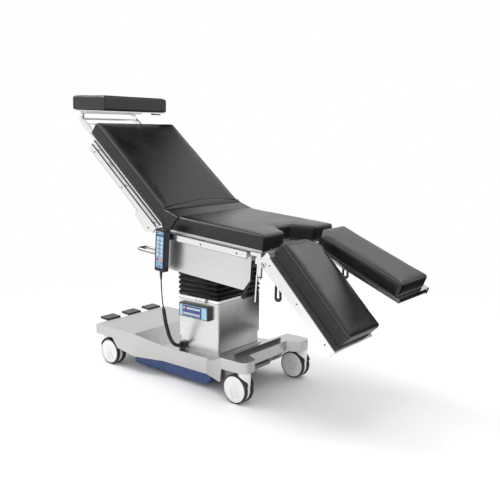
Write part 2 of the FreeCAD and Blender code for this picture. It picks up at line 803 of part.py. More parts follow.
# Seat frame: side tubes, cross tubes, the roll bearings and the leg sockets
pivot_in_seat = SEAT.inverse().multVec(Vector(s.pivot_x.value, 0, s.pivot_z.value))
roll_x = as_size(pivot_in_seat.x)
roll_z = as_size(pivot_in_seat.z)
frame_bits = []
for _, side in SIDES:
    low, high = span(side, s.frame_rail_side - s.frame_rail_width, s.frame_rail_side)
    frame_bits.append(block((s.seat_frame_head, low, s.frame_rail_low),
                            (s.seat_frame_foot, high, s.frame_rail_high)))
across = s.frame_rail_side - 2
frame_bits.append(block((s.seat_frame_foot - 90, -across, s.frame_rail_low + 2),
                        (s.seat_frame_foot - 55, across, s.frame_rail_high)))
for offset, tube_from in ((-1, -4), (1, -15)):
    x = roll_x + (s.cross_reach - 10) * offset
    bearing = prism("YZ", [(-34, roll_z - 20), (34, roll_z - 20), (60, s.frame_rail_low + 4),
                           (60, s.frame_rail_high), (-60, s.frame_rail_high), (-60, s.frame_rail_low + 4)],
                    x - 9, x + 9, holes=[(0, roll_z, s.roll_radius + s.running_gap)])
    frame_bits.append(bearing)
    frame_bits.append(block((x + tube_from, -across, s.frame_rail_low + 2),
                            (x + tube_from + 30, across, s.frame_rail_high)))
for _, side in SIDES:
    # Socket that reaches out to the leg post, and the post itself
    low, high = span(side, s.frame_rail_side - 18, s.frame_rail_side)
    frame_bits.append(block((s.seat_frame_foot - 10, low, s.sleeve_high + 0.4),
                            (s.post_x + 10, high, s.frame_rail_high - 0.3)))
    low, high = span(side, s.frame_rail_side - 18, s.post_side + s.post_radius + 3)
    frame_bits.append(block((s.skirt_foot + 0.4, low, s.sleeve_high + 0.4),
                            (s.post_x + 10, high, s.frame_rail_high - 0.3)))
    frame_bits.append(rod("Z", (s.post_x, s.post_side * side, s.post_low),
                          s.frame_rail_high - s.post_low - 2, s.post_radius))
    frame_bits.append(rod("Z", (s.post_x, s.post_side * side, s.post_low), 8, s.post_radius + 1.5))
for _, side in SIDES:
    # Hinge lug for the back section
    low, high = span(side, s.frame_rail_side - 14, s.frame_rail_side)
    lug = prism("XZ", [(-14, -11), (s.seat_frame_head + 8, -13), (s.seat_frame_head + 8, 13), (-14, 11)],
                low, high,
                holes=[(0, 0, s.hinge_radius + s.running_gap)])
    frame_bits.append(lug)
# Lug and pin for the ball lever, inside the near side tube's foot end
lever_x = s.skirt_foot - 6
lever_y = -s.frame_rail_side + 10
frame_bits.append(block((lever_x - 6, lever_y + 5.4, s.lever_pivot_z - 11),
                        (s.seat_frame_foot, lever_y + 14, s.frame_rail_low + 1)))
frame_bits.append(rod("Y", (lever_x, lever_y - 6, s.lever_pivot_z), 14, s.lever_pin_radius))
node("seat_frame", fused(*frame_bits), SEAT)

# Seat plate with its pad: both have the notch at the foot edge. The pads' faces at the
# back hinge lean apart, so that they just meet when the back is fully raised.
lean = math.tan(math.radians(s.back_raised.value / 2))
lean_low = s.pad_low * lean + s.pad_play
lean_high = s.pad_high * lean + s.pad_play
plate_top = s.pad_low - 0.3


def notch(foot, grow, low, high):
    """The cut-out at the foot edge of the seat, wide at its mouth."""
    floor_x = s.seat_pad_foot - s.notch_depth - grow
    return prism("XY", [(foot, -s.notch_mouth - grow), (foot, s.notch_mouth + grow),
                        (floor_x, s.notch_floor + grow),
                        (floor_x, -s.notch_floor - grow)], low - 5, high + 5)


plate_half = s.pad_half - 4
seat_sheet = block((s.seat_plate_head, -plate_half, s.frame_rail_high),
                   (s.seat_pad_foot - 4, plate_half, plate_top))
node("seat_plate", without(seat_sheet, notch(s.seat_pad_foot + 5, 3, s.frame_rail_high, plate_top)), SEAT)
seat_foam = prism("XZ", [(lean_low, s.pad_low), (s.seat_pad_foot, s.pad_low),
                         (s.seat_pad_foot, s.pad_high), (lean_high, s.pad_high)],
                  -s.pad_half, s.pad_half)
seat_notch = notch(s.seat_pad_foot + 5, 0, s.pad_low, s.pad_high)
notch_x = s.seat_pad_foot.value - s.notch_depth.value
rounded(seat_notch, s.notch_round, lambda m, d: abs(d.z) > 0.9 and abs(m.x - notch_x) < 0.5)
pad_high = s.pad_high.value
seat_pad = softened(without(seat_foam, seat_notch), 7, lambda m: abs(m.z - pad_high) < 0.1)
node("seat_pad", seat_pad, SEAT)

# Side skirts of sheet, screwed to the seat frame
for side_name, side in SIDES:
    low, high = span(side, s.frame_rail_side + 0.3, s.frame_rail_side + 0.3 + s.skirt_thick)
    skirt = prism("XZ", [(s.skirt_head, -s.skirt_drop), (s.skirt_foot - s.skirt_bevel_x, -s.skirt_drop),
                         (s.skirt_foot, -s.skirt_drop + s.skirt_bevel_z),
                         (s.skirt_foot, s.frame_rail_high - 1), (s.skirt_head, s.frame_rail_high - 1)],
                  low, high)
    node(f"side_skirt_{side_name}", skirt, SEAT)

# Accessory rails on spacers


def side_rail(start, end, screws, side):
    """A flat rail along X with round spacers to the frame behind it."""
    low, high = span(side, s.side_rail_face - s.side_rail_thick, s.side_rail_face)
    half = s.side_rail_height / 2
    bar = prism("XZ", [(start, s.side_rail_mid - half), (end, s.side_rail_mid - half),
                       (end, s.side_rail_mid + half), (start, s.side_rail_mid + half)], low, high)
    ends = (start.value, end.value)
    rounded(bar, as_size(2), lambda m, d: abs(d.y) > 0.9 and min(abs(m.x - ends[0]),
                                                                 abs(m.x - ends[1])) < 0.1)
    bits = [bar]
    for x in screws:
        low, high = span(side, s.frame_rail_side + s.skirt_thick + 0.6,
                         s.side_rail_face - s.side_rail_thick + 1)
        bits.append(rod("Y", (x, low, s.side_rail_mid), high - low, s.rail_spacer_radius))
    return bits


for side_name, side in SIDES:
    screws = (s.rail_screw_a, s.rail_screw_b, s.rail_screw_c)
    node(f"seat_rail_{side_name}", fused(*side_rail(s.seat_rail_head, s.seat_rail_foot, screws, side)),
         SEAT)

# Loop handle: a bent bar that runs headwards under the back section
bend = s.loop_radius.value * 3
y_in, y_out = -s.loop_inner.value, -s.loop_outer.value + 8
x_root, x_end = 44.0, -s.loop_reach.value
level = s.loop_level.value
path_edges = [
    Part.LineSegment(Vector(x_root, y_in, level), Vector(x_end + bend, y_in, level)).toShape(),
    Part.Arc(Vector(x_end + bend, y_in, level),
             Vector(x_end + bend * (1 - math.sin(math.pi / 4)), y_in - bend * (1 - math.cos(math.pi / 4)),
                    level),
             Vector(x_end, y_in - bend, level)).toShape(),
    Part.LineSegment(Vector(x_end, y_in - bend, level), Vector(x_end, y_out + bend, level)).toShape(),
    Part.Arc(Vector(x_end, y_out + bend, level),
             Vector(x_end + bend * (1 - math.sin(math.pi / 4)),
                    y_out + bend * (1 - math.cos(math.pi / 4)), level),
             Vector(x_end + bend, y_out, level)).toShape(),
    Part.LineSegment(Vector(x_end + bend, y_out, level), Vector(x_root, y_out, level)).toShape(),
]
loop = doc.addObject("Part::Feature", fresh("loop"))
wire = Part.Wire(path_edges)
profile = Part.Wire(Part.Circle(Vector(x_root, y_in, level), Vector(1, 0, 0),
                                s.loop_radius.value).toShape())
loop_bar = wire.makePipeShell([profile], True, True)
loop.Shape = loop_bar
loop_lugs = [block((38, -s.loop_inner - 8, s.loop_level - 9),
                   (50, -s.loop_inner + 8, s.frame_rail_low + 1.7)),
             block((38, -s.loop_outer, s.loop_level - 9), (50, -s.loop_outer + 16, s.frame_rail_low - 0.3))]
node("loop_handle", fused(loop, *loop_lugs), SEAT)

# Handset: hangs on the near rail by a hook
handset = prism("XZ", [(s.handset_head, s.handset_low), (s.handset_head + s.handset_width, s.handset_low),
                       (s.handset_head + s.handset_width, s.handset_high),
                       (s.handset_head, s.handset_high)], -s.handset_front + 1, -s.handset_back)
rounded(handset, s.handset_round, lambda m, d: abs(d.y) > 0.9)
front = -s.handset_front.value + 1
rounded(handset, as_size(3), lambda m, d: abs(m.y - front) < 0.1)
relief_x = s.handset_head + s.handset_width / 2
hook_x = s.handset_head + 18
hook_top = s.side_rail_mid + s.side_rail_height / 2 + 0.3
hook_low = s.side_rail_face - s.side_rail_thick - 0.3
hook = fused(block((hook_x - 8, -s.handset_back - 1, hook_top), (hook_x + 8, -hook_low + 3, hook_top + 3)),
             block((hook_x - 8, -hook_low, hook_top - 12), (hook_x + 8, -hook_low + 3, hook_top + 3)),
             block((hook_x - 8, -s.handset_back - 1, hook_top - 40),
                   (hook_x + 8, -s.side_rail_face - 0.3, hook_top + 1)))
strain_relief = rod("Z", (relief_x, -(s.handset_back + s.handset_front) / 2, s.handset_low - 12), 14, 5)
node("handset_case", fused(handset, hook, strain_relief), SEAT)
label_head, label_foot = s.handset_head + 6, s.handset_head + s.handset_width - 6
label_low, label_high = s.handset_low + 10, s.handset_high - 7
label = prism("XZ", [(label_head, label_low), (label_foot, label_low), (label_foot, label_high),
                     (label_head, label_high)],
              -s.handset_front, -s.handset_front + 1)
node("handset_keypad", label, SEAT)

# Ball lever under the near skirt's foot corner
ball_x = s.skirt_foot - s.ball_inset
arm = prism("XZ", [(lever_x - 5, -s.lever_knee), (lever_x + 5, -s.lever_knee + 2),
                   (ball_x + 4, -s.ball_drop + 12), (ball_x - 3, -s.ball_drop + 8)],
            lever_y - 3, lever_y + 3)
ball = doc.addObject("Part::Sphere", fresh("ball"))
bind(ball, "Radius", s.ball_radius)
place_by(ball, ball_x, lever_y, -s.ball_drop)
upper_arm = block((lever_x - 6, lever_y - 3, -s.lever_knee - 1),
                  (lever_x + 6, lever_y + 3, s.lever_pivot_z + 7))
lever_boss = rod("Y", (lever_x, lever_y - 5, s.lever_pivot_z), 10, 11)
lever_bore = rod("Y", (lever_x, lever_y - 9, s.lever_pivot_z), 18, s.lever_pin_radius + s.running_gap)
node("ball_lever", fused(without(fused(arm, upper_arm, lever_boss), lever_bore), ball), SEAT)

# Back section: its own frame runs headwards along -X
back_bits = []
for _, side in SIDES:
    low, high = span(side, s.frame_rail_side - s.frame_rail_width - 16, s.frame_rail_side - 14.4)
    back_bits.append(block((-s.back_frame_head, low, s.frame_rail_low),
                           (-s.back_frame_foot, high, s.frame_rail_high)))
    low, high = span(side, s.frame_rail_side - 20, s.frame_rail_side)
    back_bits.append(block((-s.back_frame_head + 12, low, 6),
                           (-s.back_frame_foot - 8, high, s.frame_rail_high)))
    low, high = span(side, s.frame_rail_side - 34, s.frame_rail_side - 14.4)
    back_bits.append(prism("XZ", [(-s.back_frame_foot - 4, -13), (-8, -11), (11, -8), (11, 8), (-8, 11),
                                  (-s.back_frame_foot - 4, 13)], low, high))
    low, high = span(side, s.frame_rail_side - 20, s.frame_rail_side - 1)
    back_bits.append(rod("Y", (0, low, 0), high - low, s.hinge_radius))
inside = s.frame_rail_side - 20
back_bits.append(block((-s.back_frame_foot - 60, -inside, s.frame_rail_low + 2),
                       (-s.back_frame_foot - 30, inside, s.frame_rail_high)))
back_bits.append(block((-s.back_frame_head + 2, -inside, -8),
                       (-s.back_frame_head + 26, inside, s.frame_rail_high)))
bar_low = s.head_bar_mid - s.head_bar_high / 2
bar_high = s.head_bar_mid + s.head_bar_high / 2
for _, side in SIDES:
    # Two guides hold each head bar from both sides
    for u in (s.back_frame_head - 14, s.back_frame_head - s.head_guide_inset):
        low, high = span(side, s.head_bar_side - 12, s.head_bar_side + s.head_bar_wide + 12)
        guide = block((-u - 12, low, bar_low - 10), (-u + 12, high, s.frame_rail_low + 30))
        low, high = span(side, s.head_bar_side - 0.3, s.head_bar_side + s.head_bar_wide + 0.3)
        back_bits.append(without(guide, block((-u - 20, low, bar_low - 0.3),
                                              (-u + 20, high, bar_high + 0.3))))
low_cross = s.back_frame_head - s.back_cross_inset
back_bits.append(block((-low_cross - 24, -inside, s.frame_rail_low + 6),
                       (-low_cross, inside, s.frame_rail_high)))
node("back_frame", fused(*back_bits), BACK)
node("back_plate", prism("XY", [(-s.back_pad_head + 6, -s.pad_half + 4),
                                (-s.seat_plate_head, -s.pad_half + 4),
                                (-s.seat_plate_head, s.pad_half - 4),
                                (-s.back_pad_head + 6, s.pad_half - 4)], s.frame_rail_high, plate_top),
     BACK)
back_pad = prism("XZ", [(-s.back_pad_head, s.pad_low), (-lean_low, s.pad_low), (-lean_high, s.pad_high),
                        (-s.back_pad_head, s.pad_high)],
                 -s.pad_half, s.pad_half)
rounded(back_pad, as_size(7), lambda m, d: abs(m.z - pad_high) < 0.1)
node("back_pad", back_pad, BACK)
for side_name, side in SIDES:
    low, high = span(side, s.side_rail_face - s.side_rail_thick, s.side_rail_face)
    half = s.side_rail_height / 2
    top_z, low_z = s.side_rail_mid + half, s.side_rail_mid - half
    bar = prism("XZ", [(-s.back_rail_head, low_z), (-s.bracket_u_d, low_z),
                       (-s.bracket_u_c, -s.bracket_low + 9), (-s.bracket_u_b, -s.bracket_low),
                       (-s.bracket_u_a, low_z - 8), (-s.bracket_u_a, top_z), (-s.back_rail_head, top_z)],
                low, high)
    bits = [bar]
    for u in (s.back_screw_a, s.back_screw_b, s.back_screw_c):
        low, high = span(side, s.frame_rail_side + 0.3, s.side_rail_face - s.side_rail_thick + 1)
        bits.append(rod("Y", (-u, low, s.side_rail_mid + 7.5), high - low, 5))
    node(f"back_rail_{side_name}", fused(*bits), BACK)

# Clamp knobs under the back frame that hold the head bars
for side_name, side in SIDES:
    knob_u = s.back_frame_head - s.head_guide_inset
    low, high = span(side, s.head_bar_side + s.head_bar_wide + 12.4, s.head_bar_side + s.head_bar_wide + 42)
    grip = rod("Y", (-knob_u, low + (high - low) * (0.4 if side > 0 else 0), s.head_bar_mid),
               (high - low) * 0.6, 15)
    neck = rod("Y", (-knob_u, low, s.head_bar_mid), high - low, 6)
    node(f"bar_knob_{side_name}", fused(grip, neck), BACK)

# Head bars: two flat bars and the cross shaft at their head end
bar_bits = []
for _, side in SIDES:
    low, high = span(side, s.head_bar_side, s.head_bar_side + s.head_bar_wide)
    tip = s.head_hinge_u + 13
    bar = prism("XZ", [(-tip, s.head_hinge_w - 9), (-s.head_hinge_u + 26, bar_low),
                       (-s.head_bar_in, bar_low), (-s.head_bar_in, bar_high),
                       (-s.head_hinge_u + 26, bar_high), (-tip, s.head_hinge_w + 9)], low, high,
                holes=[(-s.head_hinge_u, s.head_hinge_w, s.head_shaft_radius + s.running_gap)])
    bar_bits.append(bar)
brace = block((-s.head_hinge_u + 36, -s.head_bar_side - 1, s.head_bar_mid - 5),
              (-s.head_hinge_u + 46, s.head_bar_side + 1, s.head_bar_mid + 5))
node("head_bars", fused(*bar_bits, brace), BACK)

# Head links: short plates between the lower shaft and the head plate's shaft
link_low = HEAD.inverse().multVec(hinge_world)
lx, lz = as_size(link_low.x), as_size(link_low.z)
link_end = s.head_shaft_radius + 3
link_bits = []
for _, side in SIDES:
    low, high = span(side, s.head_bar_side - 8.4, s.head_bar_side - 0.4)
    plate = prism("XZ", [(lx - link_end, lz), (lx + link_end, lz), (link_end, 0), (-link_end, 0)], low,
                  high)
    ends = [rod("Y", (x, low, z), high - low, link_end) for x, z in ((0, 0), (lx, lz))]
    bore = rod("Y", (0, low - 1, 0), high - low + 2, s.head_shaft_radius + s.running_gap)
    link_bits.append(without(fused(plate, *ends), bore))
    low, high = span(side, s.head_bar_side - 4, s.head_bar_side + s.head_bar_wide + 3)
    link_bits.append(rod("Y", (lx, low, lz), high - low, s.head_shaft_radius))
tie = rod("Y", (lx, -s.head_bar_side + 1, lz), s.head_bar_side * 2 - 2, s.head_shaft_radius)
node("head_links", fused(*link_bits, tie), HEAD)

# Head plate, its shaft and lugs, the pad on it and the release lever
plate_low = s.head_plate_lift + 1
lugs = []
for _, side in SIDES:
    low, high = span(side, s.head_bar_side - 20, s.head_bar_side - 8.8)
    lugs.append(prism("XZ", [(-9, -9), (9, -9), (20, plate_low + 1), (-20, plate_low + 1)], low, high))
shaft = rod("Y", (0, -s.head_bar_side + 0.4, 0), s.head_bar_side * 2 - 0.8, s.head_shaft_radius)
head_foot = s.head_pad_foot
head_head = s.head_pad_foot - s.head_pad_length
cross_tube = block((24, -s.head_pad_half + 24, plate_low - 8), (52, s.head_pad_half - 24, plate_low + 1))
plate = block((head_head + 5, -s.head_pad_half + 5, plate_low),
              (head_foot - 5, s.head_pad_half - 5, plate_low + s.head_plate_sheet))
link_slots = []
for _, side in SIDES:
    low, high = span(side, s.head_bar_side - 9, s.head_bar_side + 0.2)
    link_slots.append(block((-link_end - 5, low, plate_low - 1),
                            (link_end + 5, high, plate_low + s.head_plate_sheet + 1)))
node("head_plate", fused(without(plate, *link_slots), shaft, *lugs, cross_tube), HEAD)
head_low = plate_low + s.head_plate_sheet + 0.3
head_pad = prism("XY", [(head_head, -s.head_pad_half), (head_foot, -s.head_pad_half),
                        (head_foot, s.head_pad_half), (head_head, s.head_pad_half)],
                 head_low, head_low + s.head_pad_thick)
head_top = head_low.value + s.head_pad_thick.value
rounded(head_pad, as_size(6), lambda m, d: abs(m.z - head_top) < 0.1)
node("head_pad", head_pad, HEAD)
lever_pivot_y = s.head_pad_half - 26
lever_pivot_x = s.head_pad_foot - 74
grip_bar = block((lever_pivot_x, lever_pivot_y - 5, plate_low - 8),
                 (head_foot - 22, lever_pivot_y + 5, plate_low - 2))
node("head_lever", fused(grip_bar, rod("Z", (lever_pivot_x, lever_pivot_y, plate_low - 8), 7.6, 9)), HEAD)

# Legs
for side_name, side in SIDES:
    frame = LEG[side_name]
    # Knuckle: a sleeve on the post with a cheek that carries the pitch pin
    low_y, high_y = span(side, s.leg_bar_face - s.leg_bar_thick - 18,
                         s.leg_bar_face - s.leg_bar_thick - 0.4)
    sleeve = rod("Z", (s.post_x, s.post_side * side, s.sleeve_low), s.sleeve_high - s.sleeve_low,
                 s.post_sleeve_radius)
    bore = rod("Z", (s.post_x, s.post_side * side, s.sleeve_low - 2), s.sleeve_high - s.sleeve_low + 4,
               s.post_radius + s.running_gap)
    cheek = prism("XZ", [(s.post_x + 4, s.leg_pivot_z - 16), (s.leg_pivot_x, s.leg_pivot_z - 16),
                         (s.leg_pivot_x + 14, s.leg_pivot_z - 8),
                         (s.leg_pivot_x + 14, s.leg_pivot_z + 8), (s.leg_pivot_x, s.leg_pivot_z + 16),
                         (s.post_x + 4, s.leg_pivot_z + 16)],
                  low_y, high_y)
    pin_low, pin_high = span(side, s.leg_bar_face - s.leg_bar_thick - 10, s.leg_bar_face - 0.5)
    pin = rod("Y", (s.leg_pivot_x, pin_low, s.leg_pivot_z), pin_high - pin_low, s.leg_pin_radius)
    node(f"leg_knuckle_{side_name}", fused(without(fused(sleeve, cheek), bore), pin), SEAT)
    # Leg frame: the side bar, the pad plate and its ribs
    low_y, high_y = span(side, s.leg_bar_face - s.leg_bar_thick, s.leg_bar_face)
    bar = prism("XZ", [(-10, -s.leg_bar_low), (4, -s.leg_bar_low), (s.leg_pad_foot * 0.42, -4),
                       (s.leg_pad_foot, s.leg_bar_foot_low),
                       (s.leg_pad_foot, s.leg_bar_top - 0.6), (-24, s.leg_bar_top - 0.6), (-24, 4)],
                low_y, high_y,
                holes=[(0, 0, s.leg_pin_radius + s.running_gap)])
    inner = s.pad_half - s.leg_pad_width
    low_y, high_y = span(side, inner + 4, s.leg_bar_face - 2)
    top = s.leg_pad_low - 0.3
    plate_points = [(s.leg_pad_head + 26, s.leg_bar_face * side - 2 * side),
                    (s.leg_pad_foot, s.leg_bar_face * side - 2 * side),
                    (s.leg_pad_foot, (inner + 5) * side),
                    (s.leg_pad_head + s.leg_bevel_x + 8, (inner + 5) * side),
                    (s.leg_pad_head + 26, (inner + s.leg_bevel_y + 5) * side)]
    plate = prism("XY", plate_points, top - 4, top)
    rib_low, rib_high = span(side, inner + 20, inner + 34)
    rib = block((60, rib_low, top - 22), (s.leg_pad_foot - 12, rib_high, top - 3))
    end_low, end_high = span(side, inner + 20, s.leg_bar_face - 3)
    end_rib = block((s.leg_pad_foot - 14, end_low, top - 22), (s.leg_pad_foot, end_high, top - 3))
    head_rib = block((60, end_low, top - 22), (74, end_high, top - 3))
    lugs = []
    for offset in (-14, 5):
        lug_low, lug_high = span(side, s.release_side + offset, s.release_side + offset + 9)
        lug = block((s.release_x - 7, lug_low, s.release_z - 7), (s.release_x + 7, lug_high, top - 3))
        lugs.append(without(lug, rod("Y", (s.release_x, lug_low - 1, s.release_z), 11,
                                     s.release_pin_radius + s.running_gap)))
    node(f"leg_frame_{side_name}", fused(bar, plate, rib, end_rib, head_rib, *lugs), frame)
    points = [(s.leg_pad_head, s.pad_half * side), (s.leg_pad_foot - 4, s.pad_half * side),
              (s.leg_pad_foot - 4, inner * side),
              (s.leg_pad_head + s.leg_bevel_x, inner * side),
              (s.leg_pad_head, (inner + s.leg_bevel_y) * side)]
    leg_pad = prism("XY", points, s.leg_pad_low, s.leg_pad_high)
    leg_high = s.leg_pad_high.value
    rounded(leg_pad, as_size(7), lambda m, d: abs(m.z - leg_high) < 0.1)
    node(f"leg_pad_{side_name}", leg_pad, frame)
    # Clamp lever: a collar at the foot of the post with a thin rod that hangs from it
    collar = rod("Z", (s.post_x, s.post_side * side, s.sleeve_low - 10), 9.6, s.post_sleeve_radius)
    through = rod("Z", (s.post_x, s.post_side * side, s.sleeve_low - 14), 20, s.post_radius + s.running_gap)
    arm_low, arm_high = span(side, s.post_side + 9, s.post_side + 14)
    arm = block((s.post_x - 3, arm_low, s.sleeve_low - 10), (s.post_x + 3, arm_high, s.sleeve_low - 4))
    wand = rod("Z", (s.post_x, (s.post_side + 14) * side, s.post_low - 88),
               s.sleeve_low - s.post_low + 86, 3.2)
    node(f"clamp_lever_{side_name}", fused(without(collar, through), arm, wand), SEAT)
    # Release loop: a strap that hangs straight down from its pin under the leg frame
    loop_low, loop_high = span(side, s.release_side - 4, s.release_side + 4)
    strap = prism("XZ", [(-10, 8), (10, 8), (15, -118), (8, -128), (-8, -128), (-15, -118)], loop_low,
                  loop_high)
    gap = prism("XZ", [(-5, -8), (5, -8), (8, -116), (-8, -116)], loop_low - 2, loop_high + 2)
    pin_low, pin_high = span(side, s.release_side - 13, s.release_side + 13)
    release_pin = rod("Y", (0, pin_low, 0), pin_high - pin_low, s.release_pin_radius)
    hang = frame.multVec(Vector(s.release_x.value, 0, s.release_z.value))
    node(f"release_loop_{side_name}", fused(without(strap, gap), release_pin), tilted(hang.x, hang.z, 0))

# Pedals: rubber pads on arms that rock on the chassis ears
for i, name in enumerate(("near", "middle", "far")):
    y = s.pedal_first + s.pedal_spacing * i
    pad = prism("XZ", [(s.pedal_head, s.pedal_level), (s.pedal_head + s.pedal_length, s.pedal_level - 3),
                       (s.pedal_head + s.pedal_length, s.pedal_level + s.pedal_thick - 3),
                       (s.pedal_head, s.pedal_level + s.pedal_thick)],
                y - s.pedal_width / 2, y + s.pedal_width / 2)
    rounded(pad, as_size(4), lambda m, d: abs(d.y) < 0.5)
    arm = prism("XZ", [(s.pedal_axle_x + 7, s.pedal_axle_z - 6), (s.pedal_axle_x + 7, s.pedal_axle_z + 6),
                       (s.pedal_head + s.pedal_length + 10, s.pedal_axle_z + 6),
                       (s.pedal_head + s.pedal_length - 6, s.pedal_level + 3),
                       (s.pedal_head + 12, s.pedal_level + 3),
                       (s.pedal_head + 12, s.pedal_level - 5),
                       (s.pedal_head + s.pedal_length - 10, s.pedal_level - 7),
                       (s.pedal_head + s.pedal_length + 6, s.pedal_axle_z - 6)],
                y - 7, y + 7)
    axle = rod("Y", (s.pedal_axle_x, y - 20, s.pedal_axle_z), 40, 4)
    node(f"pedal_{name}", fused(pad, arm, axle))

# Handset cord: a thin lead, then a curly part that enters the gland at the column's foot
LEAD_POINTS = [(-121.4, -307.8, 515.9), (-121.8, -307.6, 482.0), (-124.5, -304.0, 448.0),
               (-130.0, -297.0, 412.0),
               (-136.4, -287.2, 379.6), (-139.94, -280.12, 352.46)]
COIL_POINTS = [(-140.0, -280.0, 352.0), (-146.0, -268.0, 306.0), (-157.0, -247.0, 262.0),
               (-166.0, -225.0, 215.0),
               (-165.5, -209.0, 186.0), (-163.5, -196.5, 173.0), (-162.0, -185.0, 166.0),
               (-161.0, -172.5, 163.0),
               (-161.0, -159.5, 163.0)]


def cord_path(points):
    """Straight runs joined by tangent arcs, each arc as large as its two runs allow."""
    spots = [Vector(*p) for p in points]
    edges = []
    start = spots[0]
    for before, corner, after in zip(spots, spots[1:], spots[2:]):
        into = (corner - before)
        out = (after - corner)
        run = min(into.Length, out.Length)
        into.normalize()
        out.normalize()
        turn = into.getAngle(out)
        setback = 0.45 * run
        radius = setback / math.tan(turn / 2)
        print(f"cord bend radius {radius:.0f} mm, turn {math.degrees(turn):.0f} degrees")
        a = corner - into * setback
        b = corner + out * setback
        toward = (out - into).normalize()
        middle = corner + toward * (radius / math.cos(turn / 2) - radius)
        edges.append(Part.LineSegment(start, a).toShape())
        edges.append(Part.Arc(a, middle, b).toShape())
        start = b
    edges.append(Part.LineSegment(start, spots[-1]).toShape())
    return Part.Wire(edges)


def cord_tube(label, points, radius):
    path = cord_path(points)
    start = Vector(*points[0])
    along = (Vector(*points[1]) - start).normalize()
    ring_wire = Part.Wire(Part.Circle(start, along, radius).toShape())
    thing = doc.addObject("Part::Feature", fresh("cord"))
    thing.Shape = path.makePipeShell([ring_wire], True, True)
    expected = math.pi * radius ** 2 * path.Length
    print(f"{label}: length {path.Length:.0f} mm, volume {thing.Shape.Volume:.0f} of {expected:.0f} cubic mm")
    node(label, thing)


cord_tube("cord_lead", LEAD_POINTS, s.lead_radius.value)
cord_tube("cord_coil", COIL_POINTS, s.coil_radius.value)

# Checks and files
doc.recompute()
faults = [thing.Name for thing in doc.Objects if "Invalid" in thing.State or "Error" in thing.State]
for thing in nodes:
    if thing.Shape.isNull() or not thing.Shape.isValid():
        faults.append(thing.Label)
if faults:
    raise RuntimeError("not built: " + ", ".join(faults))
os.makedirs("parts", exist_ok=True)
for thing in nodes:
    thing.Shape.exportStep(f"parts/{thing.Label}.step")
print(len(nodes), "sub-parts written")
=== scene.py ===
"""Looks of the operating table. X runs to the foot end, Z up, and -Y is the side with the handset."""
import json
import math

import bmesh
import bpy
from mathutils import Matrix, Vector
from mathutils.bvhtree import BVHTree


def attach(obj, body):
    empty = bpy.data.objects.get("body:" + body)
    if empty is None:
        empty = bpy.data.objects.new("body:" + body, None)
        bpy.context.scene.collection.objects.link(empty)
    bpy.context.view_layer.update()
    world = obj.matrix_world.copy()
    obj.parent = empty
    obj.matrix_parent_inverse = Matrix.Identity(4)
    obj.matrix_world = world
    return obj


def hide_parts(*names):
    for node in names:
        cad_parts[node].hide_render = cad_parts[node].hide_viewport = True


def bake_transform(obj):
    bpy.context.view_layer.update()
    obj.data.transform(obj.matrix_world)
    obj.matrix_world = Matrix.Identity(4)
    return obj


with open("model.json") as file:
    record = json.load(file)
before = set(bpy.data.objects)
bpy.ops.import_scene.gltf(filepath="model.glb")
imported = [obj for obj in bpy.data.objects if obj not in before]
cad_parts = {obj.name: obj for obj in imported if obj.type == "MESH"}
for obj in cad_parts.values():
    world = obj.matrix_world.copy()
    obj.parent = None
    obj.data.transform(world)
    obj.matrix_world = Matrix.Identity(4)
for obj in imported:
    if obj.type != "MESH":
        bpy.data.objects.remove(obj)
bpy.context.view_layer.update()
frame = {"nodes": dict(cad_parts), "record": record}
NODES = frame["nodes"]
MM = 0.001
NEAR, FAR = -1, 1


# Section frames, as in the part's source: X to the foot end, turned about Y


def section(x, z, angle):
    return Matrix.Translation((x * MM, 0, z * MM)) @ Matrix.Rotation(math.radians(angle), 4, "Y")


ROW = Matrix()
SEAT = section(-162.5, 679.0, 4.6)
BACK = section(-162.5, 679.0, 39.9)
HEAD = section(-812.0, 1204.0, 2.6)
LEG_PIVOT = SEAT @ Vector((0.578, 0, -0.0175))
LEG = {
    "near": section(LEG_PIVOT.x / MM, LEG_PIVOT.z / MM, 46.1),
    "far": section(LEG_PIVOT.x / MM, LEG_PIVOT.z / MM, 22.9),
}
SIDES = (("near", NEAR), ("far", FAR))


# Materials


def node_material(name):
    """A material with its principled shader, and a function that adds linked nodes."""
    material = bpy.data.materials.new(name)
    material.use_nodes = True
    tree = material.node_tree
    shader = tree.nodes["Principled BSDF"]

    def add(kind, **values):
        made = tree.nodes.new(kind)
        for key, value in values.items():
            if key in made.inputs:
                made.inputs[key].default_value = value
            else:
                setattr(made, key, value)
        return made

    return material, shader, add, tree.links.new


def stretched(add, link, scale):
    """The object's own coordinates, stretched along the grain."""
    place = add("ShaderNodeTexCoord")
    mapping = add("ShaderNodeMapping")
    mapping.inputs["Scale"].default_value = scale
    link(place.outputs["Object"], mapping.inputs["Vector"])
    return mapping.outputs["Vector"]


def spread(add, link, source, low, high):
    """Maps a texture's 0.3 to 0.7 onto two colours."""
    ramp = add("ShaderNodeValToRGB")
    ramp.color_ramp.elements[0].position = 0.3
    ramp.color_ramp.elements[1].position = 0.7
    ramp.color_ramp.elements[0].color = (*low, 1)
    ramp.color_ramp.elements[1].color = (*high, 1)
    link(source, ramp.inputs["Fac"])
    return ramp.outputs["Color"]


def between(add, link, source, low, high):
    span = add("ShaderNodeMapRange")
    span.inputs["From Min"].default_value = 0.3
    span.inputs["From Max"].default_value = 0.7
    span.inputs["To Min"].default_value = low
    span.inputs["To Max"].default_value = high
    link(source, span.inputs["Value"])
    return span.outputs["Result"]


RELIEF_DEPTH = 0.0003
CLOUD_SHARE = 0.45
SOFT_GLOSS = {"bellows_skin": 0.22, "crease_shade": 0.1}


